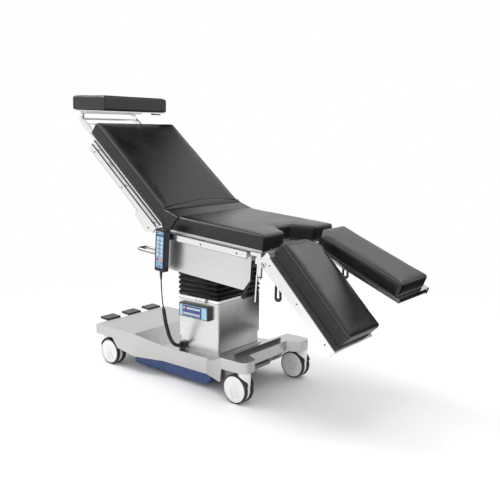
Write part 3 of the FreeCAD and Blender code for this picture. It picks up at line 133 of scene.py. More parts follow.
def finish_of(name, low, high, rough, metal, grain, clouds, bump):
    """A surface with fine grain and slow clouds in its colour, gloss and relief."""
    material, shader, add, link = node_material(name)
    if not isinstance(grain, tuple):
        grain = (grain, grain, grain)
    fine = add("ShaderNodeTexNoise", Scale=1.0, Detail=4.0)
    link(stretched(add, link, grain), fine.inputs["Vector"])
    slow = add("ShaderNodeTexNoise", Scale=clouds, Detail=2.0)
    link(stretched(add, link, (1, 1, 1)), slow.inputs["Vector"])
    both = add("ShaderNodeMix", data_type="FLOAT")
    both.inputs[0].default_value = CLOUD_SHARE
    link(fine.outputs["Fac"], both.inputs[2])
    link(slow.outputs["Fac"], both.inputs[3])
    link(spread(add, link, both.outputs[0], low, high), shader.inputs["Base Color"])
    link(between(add, link, slow.outputs["Fac"], rough[0], rough[1]), shader.inputs["Roughness"])
    relief = add("ShaderNodeBump", Strength=bump, Distance=RELIEF_DEPTH)
    link(fine.outputs["Fac"], relief.inputs["Height"])
    link(relief.outputs["Normal"], shader.inputs["Normal"])
    shader.inputs["Metallic"].default_value = metal
    shader.inputs["Specular IOR Level"].default_value = SOFT_GLOSS.get(name, 0.5)
    return material


def vinyl():
    """Dark smooth pad cover with a pebbled grain."""
    material, shader, add, link = node_material("pad_vinyl")
    place = stretched(add, link, (1, 1, 1))
    cells = add("ShaderNodeTexVoronoi", Scale=620.0)
    link(place, cells.inputs["Vector"])
    slow = add("ShaderNodeTexNoise", Scale=9.0, Detail=3.0)
    link(place, slow.inputs["Vector"])
    link(spread(add, link, slow.outputs["Fac"], (0.006, 0.006, 0.0063), (0.010, 0.010, 0.0106)),
         shader.inputs["Base Color"])
    link(between(add, link, slow.outputs["Fac"], 0.26, 0.34), shader.inputs["Roughness"])
    grain = add("ShaderNodeBump", Strength=0.12, Distance=0.0002)
    link(cells.outputs["Distance"], grain.inputs["Height"])
    soft = add("ShaderNodeBump", Strength=0.08, Distance=0.002)
    link(slow.outputs["Fac"], soft.inputs["Height"])
    link(grain.outputs["Normal"], soft.inputs["Normal"])
    link(soft.outputs["Normal"], shader.inputs["Normal"])
    shader.inputs["Specular IOR Level"].default_value = 0.5
    return material


# Colours from dark to light, roughness from smooth to rough, metal, grain, clouds and relief
FINISHES = {
    "brushed_steel": ((0.62, 0.62, 0.61), (0.74, 0.74, 0.73), (0.26, 0.36), 1.0, (14, 700, 700), 4.0, 0.10),
    "brushed_upright": ((0.62, 0.62, 0.61), (0.74, 0.74, 0.73), (0.26, 0.36),
                        1.0, (700, 700, 10), 4.0, 0.10),
    "bright_steel": ((0.80, 0.80, 0.79), (0.88, 0.88, 0.87), (0.16, 0.24), 1.0, (60, 500, 500), 8.0, 0.05),
    "chrome": ((0.84, 0.84, 0.84), (0.90, 0.90, 0.90), (0.06, 0.12), 1.0, 300, 8.0, 0.02),
    # Dark finish for screw sockets, seams and catches; it also paints the shadow lines under the rails and
    # along the trim ring's top.
    "dark_screw_and_shade": ((0.10, 0.10, 0.10), (0.18, 0.18, 0.18), (0.30, 0.42), 0.8, 500, 30.0, 0.05),
    "frame_steel": ((0.20, 0.205, 0.21), (0.27, 0.275, 0.28), (0.40, 0.52), 0.3, 400, 8.0, 0.08),
    "blue_box": ((0.012, 0.040, 0.160), (0.020, 0.058, 0.200), (0.22, 0.34), 0.0, 900, 7.0, 0.05),
    "black_rubber": ((0.010, 0.010, 0.010), (0.018, 0.018, 0.019), (0.26, 0.40), 0.0, 500, 14.0, 0.08),
    "bellows_skin": ((0.003, 0.003, 0.003), (0.006, 0.006, 0.006), (0.12, 0.20), 0.0, 500, 14.0, 0.05),
    "black_plastic": ((0.010, 0.012, 0.018), (0.018, 0.020, 0.028), (0.30, 0.42), 0.0, 1200, 14.0, 0.10),
    "handset_shell": ((0.003, 0.005, 0.014), (0.006, 0.009, 0.022), (0.26, 0.38), 0.0, 1200, 14.0, 0.10),
    "panel_body": ((0.014, 0.014, 0.016), (0.024, 0.024, 0.026), (0.34, 0.44), 0.0, 900, 14.0, 0.08),
    "panel_face": ((0.36, 0.60, 0.80), (0.42, 0.66, 0.86), (0.28, 0.38), 0.0, 900, 10.0, 0.04),
    "panel_blue": ((0.012, 0.060, 0.215), (0.018, 0.080, 0.260), (0.24, 0.34), 0.0, 900, 18.0, 0.04),
    "panel_violet": ((0.10, 0.08, 0.36), (0.13, 0.11, 0.42), (0.28, 0.38), 0.0, 900, 18.0, 0.04),
    "key_white": ((0.60, 0.66, 0.72), (0.68, 0.74, 0.78), (0.28, 0.38), 0.0, 900, 40.0, 0.04),
    "key_red": ((0.55, 0.02, 0.02), (0.66, 0.04, 0.03), (0.26, 0.36), 0.0, 900, 40.0, 0.04),
    "key_orange": ((0.80, 0.30, 0.03), (0.88, 0.38, 0.05), (0.26, 0.36), 0.0, 900, 40.0, 0.04),
    "key_dark": ((0.02, 0.02, 0.03), (0.04, 0.04, 0.05), (0.26, 0.36), 0.0, 900, 40.0, 0.04),
    "castor_white": ((0.80, 0.80, 0.79), (0.85, 0.85, 0.84), (0.22, 0.32), 0.0, 600, 12.0, 0.04),
    "castor_line": ((0.24, 0.24, 0.24), (0.30, 0.30, 0.30), (0.26, 0.36), 0.0, 600, 12.0, 0.04),
    "castor_tyre": ((0.012, 0.012, 0.012), (0.022, 0.022, 0.023), (0.42, 0.56), 0.0, 700, 14.0, 0.14),
    "cord_black": ((0.010, 0.010, 0.010), (0.018, 0.018, 0.019), (0.24, 0.36), 0.0, 700, 14.0, 0.05),
    "cover_steel": ((0.48, 0.48, 0.475), (0.58, 0.58, 0.57), (0.24, 0.34), 1.0, (14, 700, 700), 4.0, 0.10),
    "loop_steel": ((0.34, 0.33, 0.31), (0.42, 0.41, 0.39), (0.12, 0.20), 1.0, 300, 8.0, 0.02),
    # Welt bead: a real seam, with a grey far paler than the vinyl that paints the highlight along the pad's
    # edge.
    "welt_with_highlight": ((0.060, 0.060, 0.062), (0.085, 0.085, 0.088), (0.34, 0.44), 0.0, 500, 20.0, 0.06),
    # Near black, for the pipes that paint the shade in the gusset's creases.
    "crease_shade": ((0.003, 0.003, 0.003), (0.005, 0.005, 0.005), (0.75, 0.85), 0.0, 500, 20.0, 0.06),
    "handset_label": ((0.24, 0.40, 0.56), (0.30, 0.46, 0.62), (0.28, 0.38), 0.0, 900, 10.0, 0.04),
}
MATERIALS = {name: finish_of(name, *facts) for name, facts in FINISHES.items()}
MATERIALS["pad_vinyl"] = vinyl()

NODE_MATERIAL = {
    "base_cover": "cover_steel",
    "column_lower_cover": "brushed_upright",
    "column_upper_cover": "brushed_upright",
    "column_plinth": "brushed_steel",
    "column_trim": "chrome",
    "handset_case": "handset_shell",
    "handset_keypad": "handset_label",
    "loop_handle": "loop_steel",
    "clamp_lever_near": "chrome",
    "clamp_lever_far": "chrome",
    "head_links": "chrome",
}
SLOT = {entry["node"]: entry["material_slot"] for entry in frame["record"]["subparts"]}
for label, thing in NODES.items():
    chosen = NODE_MATERIAL.get(label, SLOT[label])
    thing.data.materials.clear()
    thing.data.materials.append(MATERIALS[chosen])

# The cord's gland is part of the plinth's solid: its faces stand out of the plinth's near side
GLAND_X, GLAND_REACH, PLINTH_SIDE = -0.161, 0.03, -0.1386
plinth = NODES["column_plinth"]
plinth.data.materials.append(MATERIALS["black_rubber"])
for polygon in plinth.data.polygons:
    middle = plinth.matrix_world @ polygon.center
    if middle.y < PLINTH_SIDE and abs(middle.x - GLAND_X) < GLAND_REACH:
        polygon.material_index = 1


# Mesh helpers


def linked(name, mesh, materials):
    for key in materials:
        mesh.materials.append(MATERIALS[key])
    piece = bpy.data.objects.new(name, mesh)
    bpy.context.scene.collection.objects.link(piece)
    return piece


def settled(piece, body):
    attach(piece, body)
    return piece


class Build:
    """Collects turned forms, slabs and pipes into one mesh with several materials. Sizes in mm."""

    def __init__(self, name, materials, place=ROW):
        self.name = name
        self.materials = materials
        self.place = place
        self.mesh = bmesh.new()

    def turned(self, place, rings, sides=28, material=0):
        """Rings of (radius, height) or (radius, height, material, corners) along the place's Z."""
        rows = []
        marks = []
        for entry in rings:
            radius, height = entry[0], entry[1]
            mark = entry[2] if len(entry) > 2 else material
            corners = entry[3] if len(entry) > 3 else 0
            row = []
            for i in range(sides):
                turn = math.tau * i / sides
                reach = radius
                if corners:
                    part = math.tau / corners
                    reach = radius * math.cos(part / 2) / math.cos((turn % part) - part / 2)
                point = Vector((reach * math.cos(turn) * MM, reach * math.sin(turn) * MM, height * MM))
                row.append(self.mesh.verts.new(place @ point))
            rows.append(row)
            marks.append(mark)
        for lower, upper, mark in zip(rows, rows[1:], marks[1:]):
            for i in range(sides):
                j = (i + 1) % sides
                face = self.mesh.faces.new((lower[i], lower[j], upper[j], upper[i]))
                face.material_index = mark
                face.smooth = True
        for row, mark, flip in ((rows[0], marks[0], True), (rows[-1], marks[-1], False)):
            face = self.mesh.faces.new(list(reversed(row)) if flip else row)
            face.material_index = mark
        return self

    def slab(self, place, low, high, soft, material=0, steps=2):
        """A block with rounded edges between two corners."""
        middle = (Vector(low) + Vector(high)) / 2 * MM
        size = (Vector(high) - Vector(low)) * MM
        shape = place @ Matrix.Translation(middle) @ Matrix.Diagonal((*size, 1))
        made = bmesh.ops.create_cube(self.mesh, size=1, matrix=shape)
        edges = list({edge for vertex in made["verts"] for edge in vertex.link_edges})
        out = bmesh.ops.bevel(self.mesh, geom=edges, offset=soft * MM, segments=steps, affect="EDGES",
                              profile=0.5)
        faces = set(out["faces"])
        for vertex in made["verts"]:
            if vertex.is_valid:
                faces.update(vertex.link_faces)
        for vertex in out["verts"]:
            faces.update(vertex.link_faces)
        for face in faces:
            face.material_index = material
        return self

    def pipe(self, points, radius, sides=12, material=0, closed=False):
        """A tube along points in metres."""
        return self.skin(tube_rows(points, radius * MM, sides, closed), material, closed)

    def skin(self, rows, material=0, closed=False):
        """A skin over rows of points in metres, with a face on each end unless it is closed."""
        made = [[self.mesh.verts.new(point) for point in row] for row in rows]
        skin_rows(self.mesh, made, len(made[0]), closed, material)
        return self

    def shaped(self):
        """The finished object, not on a body yet."""
        mesh = bpy.data.meshes.new(self.name)
        bmesh.ops.recalc_face_normals(self.mesh, faces=self.mesh.faces)
        self.mesh.to_mesh(mesh)
        self.mesh.free()
        mesh.transform(self.place)
        return linked(self.name, mesh, self.materials)

    def done(self, body, slot):
        return settled(self.shaped(), body)


def tube_rows(points, radius, sides, closed):
    """Rings of points about a path, carried along without twist."""
    count = len(points)
    rows = []
    before = None
    for i, point in enumerate(points):
        ahead = points[(i + 1) % count] if closed else points[min(i + 1, count - 1)]
        behind = points[i - 1] if closed or i else points[0]
        along = (ahead - behind).normalized()
        if before is None:
            guess = Vector((0, 0, 1)) if abs(along.z) < 0.9 else Vector((1, 0, 0))
            before = along.cross(guess).normalized()
        side = (before - along * before.dot(along)).normalized()
        other = along.cross(side)
        before = side
        turns = [math.tau * k / sides for k in range(sides)]
        rows.append([point + (side * math.cos(turn) + other * math.sin(turn)) * radius for turn in turns])
    return rows


def skin_rows(mesh, rows, sides, closed, material):
    """Faces between rows of vertices. A closed skin joins its ends where they turn least."""
    pairs = list(zip(rows, rows[1:]))
    if closed:
        last, first = rows[-1], rows[0]
        shift = min(range(sides), key=lambda k: (first[k].co - last[0].co).length)
        pairs.append((last, [first[(k + shift) % sides] for k in range(sides)]))
    for lower, upper in pairs:
        for k in range(sides):
            j = (k + 1) % sides
            face = mesh.faces.new((lower[k], lower[j], upper[j], upper[k]))
            face.smooth = True
            face.material_index = material
    if not closed:
        mesh.faces.new(list(reversed(rows[0]))).material_index = material
        mesh.faces.new(rows[-1]).material_index = material


def facing(direction):
    """A rotation that takes Z to a direction."""
    return Vector(direction).to_track_quat("Z", "Y").to_matrix().to_4x4()


def spot(frame_matrix, x, y, z):
    """A point in metres from a section's own measures in mm."""
    return frame_matrix @ Vector((x * MM, y * MM, z * MM))


bpy.context.scene.view_settings.view_transform = "Standard"

# Camera, as solved from the photograph's straight edges

camera_data = bpy.data.cameras.new("camera")
camera_data.lens = 48.82
camera_data.sensor_width = 36.0
camera_data.clip_end = 60.0
camera = bpy.data.objects.new("camera", camera_data)
camera.location = (1.9512, -2.2326, 1.0820)
camera.rotation_euler = (math.radians(90 - 9.4), 0, math.radians(39.5))
bpy.context.scene.collection.objects.link(camera)
bpy.context.scene.camera = camera


# Handset cord: a thin lead and a curly part, each along its smooth route

LEAD_POINTS = [(-121.4, -307.8, 515.9), (-121.8, -307.6, 482.0), (-124.5, -304.0, 448.0),
               (-130.0, -297.0, 412.0), (-135.5, -288.0, 380.0), (-140.0, -280.0, 352.0)]
COIL_POINTS = [(-140.0, -280.0, 352.0), (-146.0, -268.0, 306.0), (-157.0, -247.0, 262.0),
               (-166.0, -225.0, 215.0), (-165.5, -209.0, 186.0), (-163.5, -196.5, 173.0),
               (-162.0, -185.0, 166.0), (-161.0, -172.5, 163.0), (-161.0, -159.5, 163.0)]
LEAD_DIAMETER = 0.0055
LEAD_STEP = 0.003
LEAD_SPLIT_Z = 0.432
WIRE_DIAMETER = 0.0042
CURL_RADIUS = 0.0064
TURNS = 43
TURN_STEPS = 22


def smooth_route(points):
    """Points along the NURBS spline whose control points are given in mm."""
    curve = bpy.data.curves.new("route", "CURVE")
    curve.dimensions = "3D"
    curve.resolution_u = 16
    spline = curve.splines.new("NURBS")
    spline.points.add(len(points) - 1)
    for target, point in zip(spline.points, points):
        target.co = (point[0] * MM, point[1] * MM, point[2] * MM, 1)
    spline.order_u = 3
    spline.use_endpoint_u = True
    holder = bpy.data.objects.new("route", curve)
    bpy.context.scene.collection.objects.link(holder)
    bpy.context.view_layer.update()
    mesh = bpy.data.meshes.new_from_object(holder)
    route = [vertex.co.copy() for vertex in mesh.vertices]
    bpy.data.objects.remove(holder)
    bpy.data.curves.remove(curve)
    bpy.data.meshes.remove(mesh)
    return route


def walked(route, step):
    """The route at even steps."""
    spots = [route[0].copy()]
    left = step
    for a, b in zip(route, route[1:]):
        run = (b - a).length
        done = 0.0
        while run - done >= left:
            done += left
            spots.append(a.lerp(b, done / run))
            left = step
        left -= run - done
    spots.append(route[-1].copy())
    return spots


def path_length(points):
    return sum((b - a).length for a, b in zip(points, points[1:]))


def cord_piece(name, path, diameter, sides):
    return Build(name, ["cord_black"]).skin(tube_rows(path, diameter / 2, sides, False)).shaped()


lead = walked(smooth_route(LEAD_POINTS), LEAD_STEP)
split = min(range(len(lead)), key=lambda i: abs(lead[i].z - LEAD_SPLIT_Z))
for name, path, upper, lower in (("lead_high", lead[:split + 1], "table", "tilt_cross"),
                                 ("lead_low", lead[split:], "tilt_cross", "lift_head")):
    piece = cord_piece(name, path, LEAD_DIAMETER, 14)
    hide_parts("cord_lead")
    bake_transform(piece)


def curled(route):
    """A helix about a route, which starts and ends on the route itself."""
    total = path_length(route)
    fine = walked(route, total / (TURNS * TURN_STEPS))
    helix = []
    side = None
    count = len(fine)
    for i, point in enumerate(fine):
        along = (fine[min(i + 1, count - 1)] - fine[max(i - 1, 0)]).normalized()
        if side is None:
            side = along.cross(Vector((0, 1, 0))).normalized()
        side = (side - along * side.dot(along)).normalized()
        other = along.cross(side)
        share = i / (count - 1)
        turn = math.tau * TURNS * share
        reach = CURL_RADIUS * min(1.0, share * TURNS * 1.2, (1 - share) * TURNS * 1.2)
        helix.append(point + (side * math.cos(turn) + other * math.sin(turn)) * reach)
    return helix


curl = curled(smooth_route(COIL_POINTS))
piece = cord_piece("curly_cord", curl, WIRE_DIAMETER, 8)
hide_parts("cord_coil")
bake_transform(piece)
print("cord lengths", round(path_length(lead), 4), round(path_length(curl), 4))

down = lead[1] - lead[0]
boot = Build("handset_boot", ["cord_black"])
boot.turned(Matrix.Translation(lead[0]) @ facing(down),
            [(6.2, -12), (6.4, -6), (5.6, 4), (5.1, 6), (5.3, 8), (4.6, 12), (4.8, 14), (4.1, 18),
             (4.2, 20), (3.3, 26)])
boot.done("table", "cord_black")
into = curl[0] - lead[-2]
collar = Build("curl_collar", ["cord_black"])
collar.turned(Matrix.Translation(lead[-1]) @ facing(into),
              [(3.2, -16), (4.6, -10), (7.6, -2), (8.2, 4), (7.4, 8)])
collar.done("lift_head", "cord_black")


# Pads: the CAD form, drawn in a little, puffed by simulated cloth under pressure

# low and high are the solid's lower and upper face, drop is how far the cover hangs below the solid,
# grow is what each side and the top gain, and edge is the outline that the seam follows, all in mm.
AS_SOLID = (0, 0, 0)
HEAD_END, HEAD_HALF = 211, 199.5
PADS = {
    "seat_cushion": dict(node="seat_pad", place=SEAT, body="table", low=22.5, high=83.5, drop=15.0,
                         grow=AS_SOLID, edge=[(52, -250), (537, -250), (537, -112), (453, -52), (453, 52),
                                              (537, 112), (537, 250), (52, 250)]),
    "back_cushion": dict(node="back_pad", place=BACK, body="back", low=22.5, high=83.5, drop=7.0,
                         grow=AS_SOLID, edge=[(-648, -250), (-52, -250), (-52, 250), (-648, 250)]),
    "head_cushion": dict(node="head_pad", place=HEAD, body="head", low=10.8, high=71.3, drop=0.0,
                         grow=(5, 6, 9), edge=[(-24, -HEAD_HALF), (HEAD_END, -HEAD_HALF),
                                               (HEAD_END, HEAD_HALF), (-24, HEAD_HALF)]),
}
for side_name, side in SIDES:
    PADS["leg_cushion_" + side_name] = dict(
        node="leg_pad_" + side_name, place=LEG[side_name], body="leg_" + side_name, low=38.5, high=99.0,
        drop=5.0, grow=AS_SOLID, edge=[(-30, 250 * side), (414.5, 250 * side), (414.5, 14.5 * side),
                                       (13, 14.5 * side), (-30, 85.5 * side)])
VOXEL = 0.0075
INSET = 0.0026
SWELL = 0.0042
CLOTH_PRESSURE = 4.0
CLOTH_FRAMES = 20
PLATE_GAP = 0.4
WELT_BELOW_TOP = 4.0
WELT_RADIUS = 1.5
WELT_STEP = 0.012


def pad_start(name, facts):
    """The solid's form, grown or dropped as its facts say, in even small faces."""
    mesh = NODES[facts["node"]].data.copy()
    mesh.transform(facts["place"].inverted())
    mesh.materials.clear()
    work = bmesh.new()
    work.from_mesh(mesh)
    bmesh.ops.remove_doubles(work, verts=work.verts, dist=1e-5)
    low = [min(v.co[i] for v in work.verts) for i in range(3)]
    high = [max(v.co[i] for v in work.verts) for i in range(3)]
    for vertex in work.verts:
        for i in range(3):
            half = (high[i] - low[i]) / 2
            middle = (high[i] + low[i]) / 2
            grow = facts["grow"][i] * MM
            lift = 0.0
            if i == 2:
                lift = (grow - facts["drop"] * MM) / 2
                grow = (grow + facts["drop"] * MM) / 2
            vertex.co[i] = middle + lift + (vertex.co[i] - middle) * (1 + (grow - INSET) / half)
    work.to_mesh(mesh)
    work.free()
    piece = linked(name, mesh, ["pad_vinyl"])
    remesh = piece.modifiers.new("remesh", "REMESH")
    remesh.mode = "VOXEL"
    remesh.voxel_size = VOXEL
    remesh.use_smooth_shade = True
    bpy.context.view_layer.update()
    shaped = bpy.data.meshes.new_from_object(piece.evaluated_get(bpy.context.evaluated_depsgraph_get()))
    piece.modifiers.clear()
    piece.data = shaped
    return piece


def puffed(pieces):
    """Steps all the cloths together, then keeps each point's move within the swell."""
    starts = {}
    for piece in pieces:
        starts[piece.name] = [v.co.copy() for v in piece.data.vertices]
        cloth = piece.modifiers.new("cloth", "CLOTH")
        cloth.settings.use_pressure = True
        cloth.settings.uniform_pressure_force = CLOTH_PRESSURE
        cloth.settings.effector_weights.gravity = 0.0
        cloth.point_cache.frame_start = 1
        cloth.point_cache.frame_end = CLOTH_FRAMES
    for step in range(1, CLOTH_FRAMES + 1):
        bpy.context.scene.frame_set(step)
    depsgraph = bpy.context.evaluated_depsgraph_get()
    for piece in pieces:
        moved = piece.evaluated_get(depsgraph).to_mesh()
        spots = [v.co.copy() for v in moved.vertices]
        piece.evaluated_get(depsgraph).to_mesh_clear()
        piece.modifiers.clear()
        for vertex, start, end in zip(piece.data.vertices, starts[piece.name], spots):
            move = end - start
            if move.length > SWELL:
                move *= SWELL / move.length
            vertex.co = start + move
    bpy.context.scene.frame_set(1)


def subdivided(piece, levels=1):
    modifier = piece.modifiers.new("smooth", "SUBSURF")
    modifier.levels = levels
    modifier.render_levels = levels
    bpy.context.view_layer.update()
    shaped = bpy.data.meshes.new_from_object(piece.evaluated_get(bpy.context.evaluated_depsgraph_get()))
    piece.modifiers.clear()
    piece.data = shaped
    for polygon in shaped.polygons:
        polygon.use_smooth = True


def edge_walk(corners, step):
    spots = []
    total = len(corners)
    for i in range(total):
        a, b = Vector(corners[i]) * MM, Vector(corners[(i + 1) % total]) * MM
        count = max(2, int((b - a).length / step))
        spots += [a.lerp(b, k / count) for k in range(count)]
    return spots


def welt(tree, corners, level):
    """A thin seam ridge that follows the pad's side at one height; its grey, paler than the vinyl, is a
    painted highlight along the edge.
    """
    points = []
    for point in edge_walk(corners, WELT_STEP):
        hit = tree.find_nearest(Vector((point.x, point.y, level * MM)))[0]
        points.append(Vector((hit.x, hit.y, level * MM)))
    total = len(points)
    for _ in range(3):
        points = [(points[i - 1] + points[i] * 2 + points[(i + 1) % total]) / 4 for i in range(total)]
    return [tree.find_nearest(point)[0] for point in points]


pad_pieces = {name: pad_start(name, facts) for name, facts in PADS.items()}
puffed(list(pad_pieces.values()))
for name, facts in PADS.items():
    piece = pad_pieces[name]
    for vertex in piece.data.vertices:
        vertex.co.z = max(vertex.co.z, (facts["low"] - facts["drop"] + PLATE_GAP) * MM)
    subdivided(piece)
    tree = BVHTree.FromPolygons([v.co for v in piece.data.vertices],
                                [p.vertices for p in piece.data.polygons])
    # The seam bead is real; its pale grey is a painted highlight along the pad's top edge.
    seam = Build(name + "_welt", ["welt_with_highlight"], facts["place"])
    level = facts["high"] + facts["grow"][2] - WELT_BELOW_TOP
    seam.pipe(welt(tree, facts["edge"], level), WELT_RADIUS, 8, closed=True)
    if name == "head_cushion":
        corner = Vector((HEAD_END + facts["grow"][0], -HEAD_HALF - facts["grow"][1], 0)) * MM
        run = [tree.find_nearest(corner + Vector((0, 0, z * MM)))[0] for z in range(16, 75, 4)]
        seam.pipe(run, 0.9, 8)
    piece.data.transform(facts["place"])
    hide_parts(facts["node"])
    settled(piece, facts["body"])
    seam.done(facts["body"], "pad_vinyl")


# Soft gusset between the seat and back pads

LEAN = math.tan(math.radians(35.0))
GUSSET_HALF = 0.2499
GUSSET_LOW = 16
ROUND_FROM = 0.96
ROUND_FALL = 0.0095
HUMP = [(80, 81.2), (70, 83.8), (60, 86.4), (50, 89.0), (40, 91.8), (30, 94.6), (20, 97.3), (10, 99.6),
        (1, 101.2), (-6, 101.8)]


def full_share(y):
    """How far the gusset stands up at a place between -1 and 1 across the table."""
    return math.cos(math.pi / 2 * y) ** 0.8


def gusset_outline(share):
    """The gusset's section; share is 1 at mid-width, where it laps up the back pad, and 0 at the ends."""
    outline = []
    for k in range(9):
        z = GUSSET_LOW + (80.0 - GUSSET_LOW) * k / 8
        outline.append(spot(SEAT, z * LEAN + 22, 0, z))
    for x, z in HUMP:
        outline.append(spot(SEAT, x, 0, z + 2.0 * share))
    for k in range(1, 5):
        outline.append(spot(BACK, -64 - 26 * share * k / 4, 0, 82.5 + 3.6 * share))
    outline.append(spot(BACK, -67 - 27 * share, 0, 80.0 + 2.0 * share))
    for k in range(8, -1, -1):
        z = GUSSET_LOW + (76.0 - GUSSET_LOW) * k / 8
        outline.append(spot(BACK, -z * LEAN - 15, 0, z))
    return outline


def bend_gusset(piece):
    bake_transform(piece)


def gusset_piece():
    ends = [ROUND_FROM, 0.985, 0.996, 1.0]
    across = [-y for y in reversed(ends)] + [i / 16 for i in range(-15, 16)] + ends
    rows = []
    for y in across:
        outline = gusset_outline(full_share(y))
        middle = sum(outline, Vector()) / len(outline)
        edge = max(0.0, (abs(y) - ROUND_FROM) / (1 - ROUND_FROM))
        fall = ROUND_FALL * (1 - math.sqrt(max(0.0, 1 - edge ** 2)))
        rows.append([Vector((p.x, y * GUSSET_HALF, p.z - fall * (p.z > middle.z))) for p in outline])
    piece = Build("pad_gusset", ["pad_vinyl"]).skin(rows).shaped()
    bend_gusset(piece)
    # Black pipes along the gusset's two folds: painted shade in the creases, not parts of the cover.
    crease_shade_pipes = Build("gusset_crease_shade", ["crease_shade"])
    for radius, place_of in ((1.7, lambda w: spot(BACK, -66.5 - 28.5 * w, 0, 83.6)),
                             (0.9, lambda w: spot(SEAT, 3 + 6 * w, 0, 102.3 + 1.6 * w))):
        path = []
        for k in range(33):
            y = -0.985 + 1.97 * k / 32
            point = place_of(full_share(y))
            path.append(Vector((point.x, y * GUSSET_HALF, point.z)))
        crease_shade_pipes.pipe(path, radius, 8)
    piece = crease_shade_pipes.shaped()
    bend_gusset(piece)


gusset_piece()


# Bellows: rounded square pleats around the column


def bellows_skin():
    column_x, low, high, pleats = -67.5, 391.4, 499.6, 5
    half_x, half_y, depth, corner = 121.5, 147.5, 8.0, 13.0
    profile = [(k / 12, 1 - math.sin(math.pi * k / 12) ** 0.62) for k in range(12)]
    step = (high - low) / pleats
    heights = [(low + step * (i + t), depth * share) for i in range(pleats) for t, share in profile]
    heights.append((high, depth))
    rows = []
    for z, inset in heights:
        row = []
        hx, hy = half_x - inset, half_y - inset
        for quarter, (sx, sy) in enumerate(((1, 1), (-1, 1), (-1, -1), (1, -1))):
            for k in range(7):
                turn = math.radians(90 * quarter + 15 * k)
                x = sx * (hx - corner) + corner * math.cos(turn)
                y = sy * (hy - corner) + corner * math.sin(turn)
                row.append(((column_x + x) * MM, y * MM, z * MM))
        rows.append(row)
    piece = Build("bellows_skin", ["bellows_skin"]).skin(rows).shaped()
    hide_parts("bellows")
    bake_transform(piece)


bellows_skin()


# Castors: twin discs with a tyre, a domed face and raised lines

CASTORS = [("near_head", -615.0, -201.0, 1), ("far_head", -615.0, 201.0, 1),
           ("near_foot", 246.0, -201.0, -1), ("far_foot", 246.0, 201.0, -1)]
TYRE, WHITE, LINE = range(3)
DISC = [(6.5, 9.6, WHITE), (30, 10.0, WHITE), (44, 12.5, WHITE), (53, 12.0, WHITE), (54, 10.2, TYRE),
        (58, 9.9, TYRE), (61.2, 11.6, TYRE), (62.3, 14.5, TYRE), (62.5, 18.8, TYRE), (62.3, 23.0, TYRE),
        (61.2, 25.8, TYRE), (58, 27.5, TYRE), (55.2, 27.7, TYRE), (54.4, 26.6, WHITE),
        (53.4, 26.8, WHITE), (52, 27.5, WHITE), (40, 28.2, WHITE), (24, 28.5, WHITE), (8, 28.6, WHITE),
        (2, 28.6, WHITE)]
TRAIL = 32
WHEEL_RADIUS = 62.5
LINE_LEAN = math.radians(14)
GUARD_INNER, GUARD_OUTER = 65.0, 68.0


def arch(radius, low, high):
    """An upside-down U in the disc's face plane, in mm."""
    spots = [(-radius, low + (high - low) * k / 6) for k in range(7)]
    spots += [(-radius * math.cos(math.pi * k / 12),
               high + radius * math.sin(math.pi * k / 12)) for k in range(1, 12)]
    spots += [(radius, high - (high - low) * k / 6) for k in range(7)]
    return spots


for name, stem_x, stem_y, way in CASTORS:
    centre = Vector(((stem_x + TRAIL * way) * MM, stem_y * MM, WHEEL_RADIUS * MM))
    wheels = Build("castor_discs_" + name, ["castor_tyre", "castor_white", "castor_line"])
    for side in (NEAR, FAR):
        turn = Matrix.Translation(centre) @ facing((0, side, 0))
        wheels.turned(turn, DISC, sides=56)
        outward = side * stem_y > 0
        if outward:
            for radius, low, high in ((17, -40, -2), (7, -38, -8)):
                run = []
                for x, z in arch(radius, low, high):
                    across = x * math.cos(LINE_LEAN) - z * math.sin(LINE_LEAN)
                    up = x * math.sin(LINE_LEAN) + z * math.cos(LINE_LEAN)
                    reach = math.hypot(across, up)
                    face = 28.55 - max(0, reach - 24) * 0.03
                    run.append(centre + Vector((across * MM, side * face * MM, up * MM)))
                wheels.pipe(run, 0.55, 6, LINE)
        else:
            for radius in (9, 20):
                run = [centre + Vector((radius * math.cos(math.tau * k / 36) * MM, side * 28.5 * MM,
                                        radius * math.sin(math.tau * k / 36) * MM)) for k in range(36)]
                wheels.pipe(run, 0.7, 6, LINE, closed=True)
    hub = Matrix.Translation(centre - Vector((0, 0.011, 0))) @ facing((0, 1, 0))
    wheels.turned(hub, [(5.9, 0), (5.9, 22)], sides=20)
    piece = wheels.done("wheels_" + name, "castor_tyre")
    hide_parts("castor_wheels_" + name)
    # A guard over each disc's upper quarter on the stem's side
    guard = Build("castor_guard_" + name, ["black_plastic"])
    for side in (NEAR, FAR):
        rows = []
        for k in range(15):
            turn = math.radians(86 + 74 * k / 14)
            rows.append([centre + Vector((way * radius * math.cos(turn) * MM, side * y * MM,
                                          radius * math.sin(turn) * MM))
                         for radius, y in ((GUARD_INNER, 11.0), (GUARD_OUTER, 11.5),
                                           (GUARD_OUTER - 0.6, 26.5), (GUARD_INNER - 1.5, 28.0))])
        guard.skin(rows)
    guard.slab(Matrix.Translation(centre), (-6, -12, 64.6), (6, 12, 68.0), 0.8)
    guard.done("castor_" + name, "black_plastic")
    # The fork's round white body between the discs
    fender = Build("castor_fender_" + name, ["castor_white"])
    middle = Matrix.Translation(centre) @ facing((0, 1, 0))
    fender.turned(middle, [(9, -8.0), (55, -8.4), (57.5, -6.5), (58.5, -3), (58.5, 3), (57.5, 6.5),
                           (55, 8.4), (9, 8.0)], sides=56)
    fender.done("castor_" + name, "castor_white")


# Fasteners, and the painted shadow line under the accessory rails

HEX_HEAD_RADIUS = 4.6
HEX_HEAD = [(4.9, -0.4), (4.9, 1.4), (4.4, 2.0), (3.9, 2.0, 1), (3.0, 1.7, 1), (2.6, 0.9, 1, 6)]


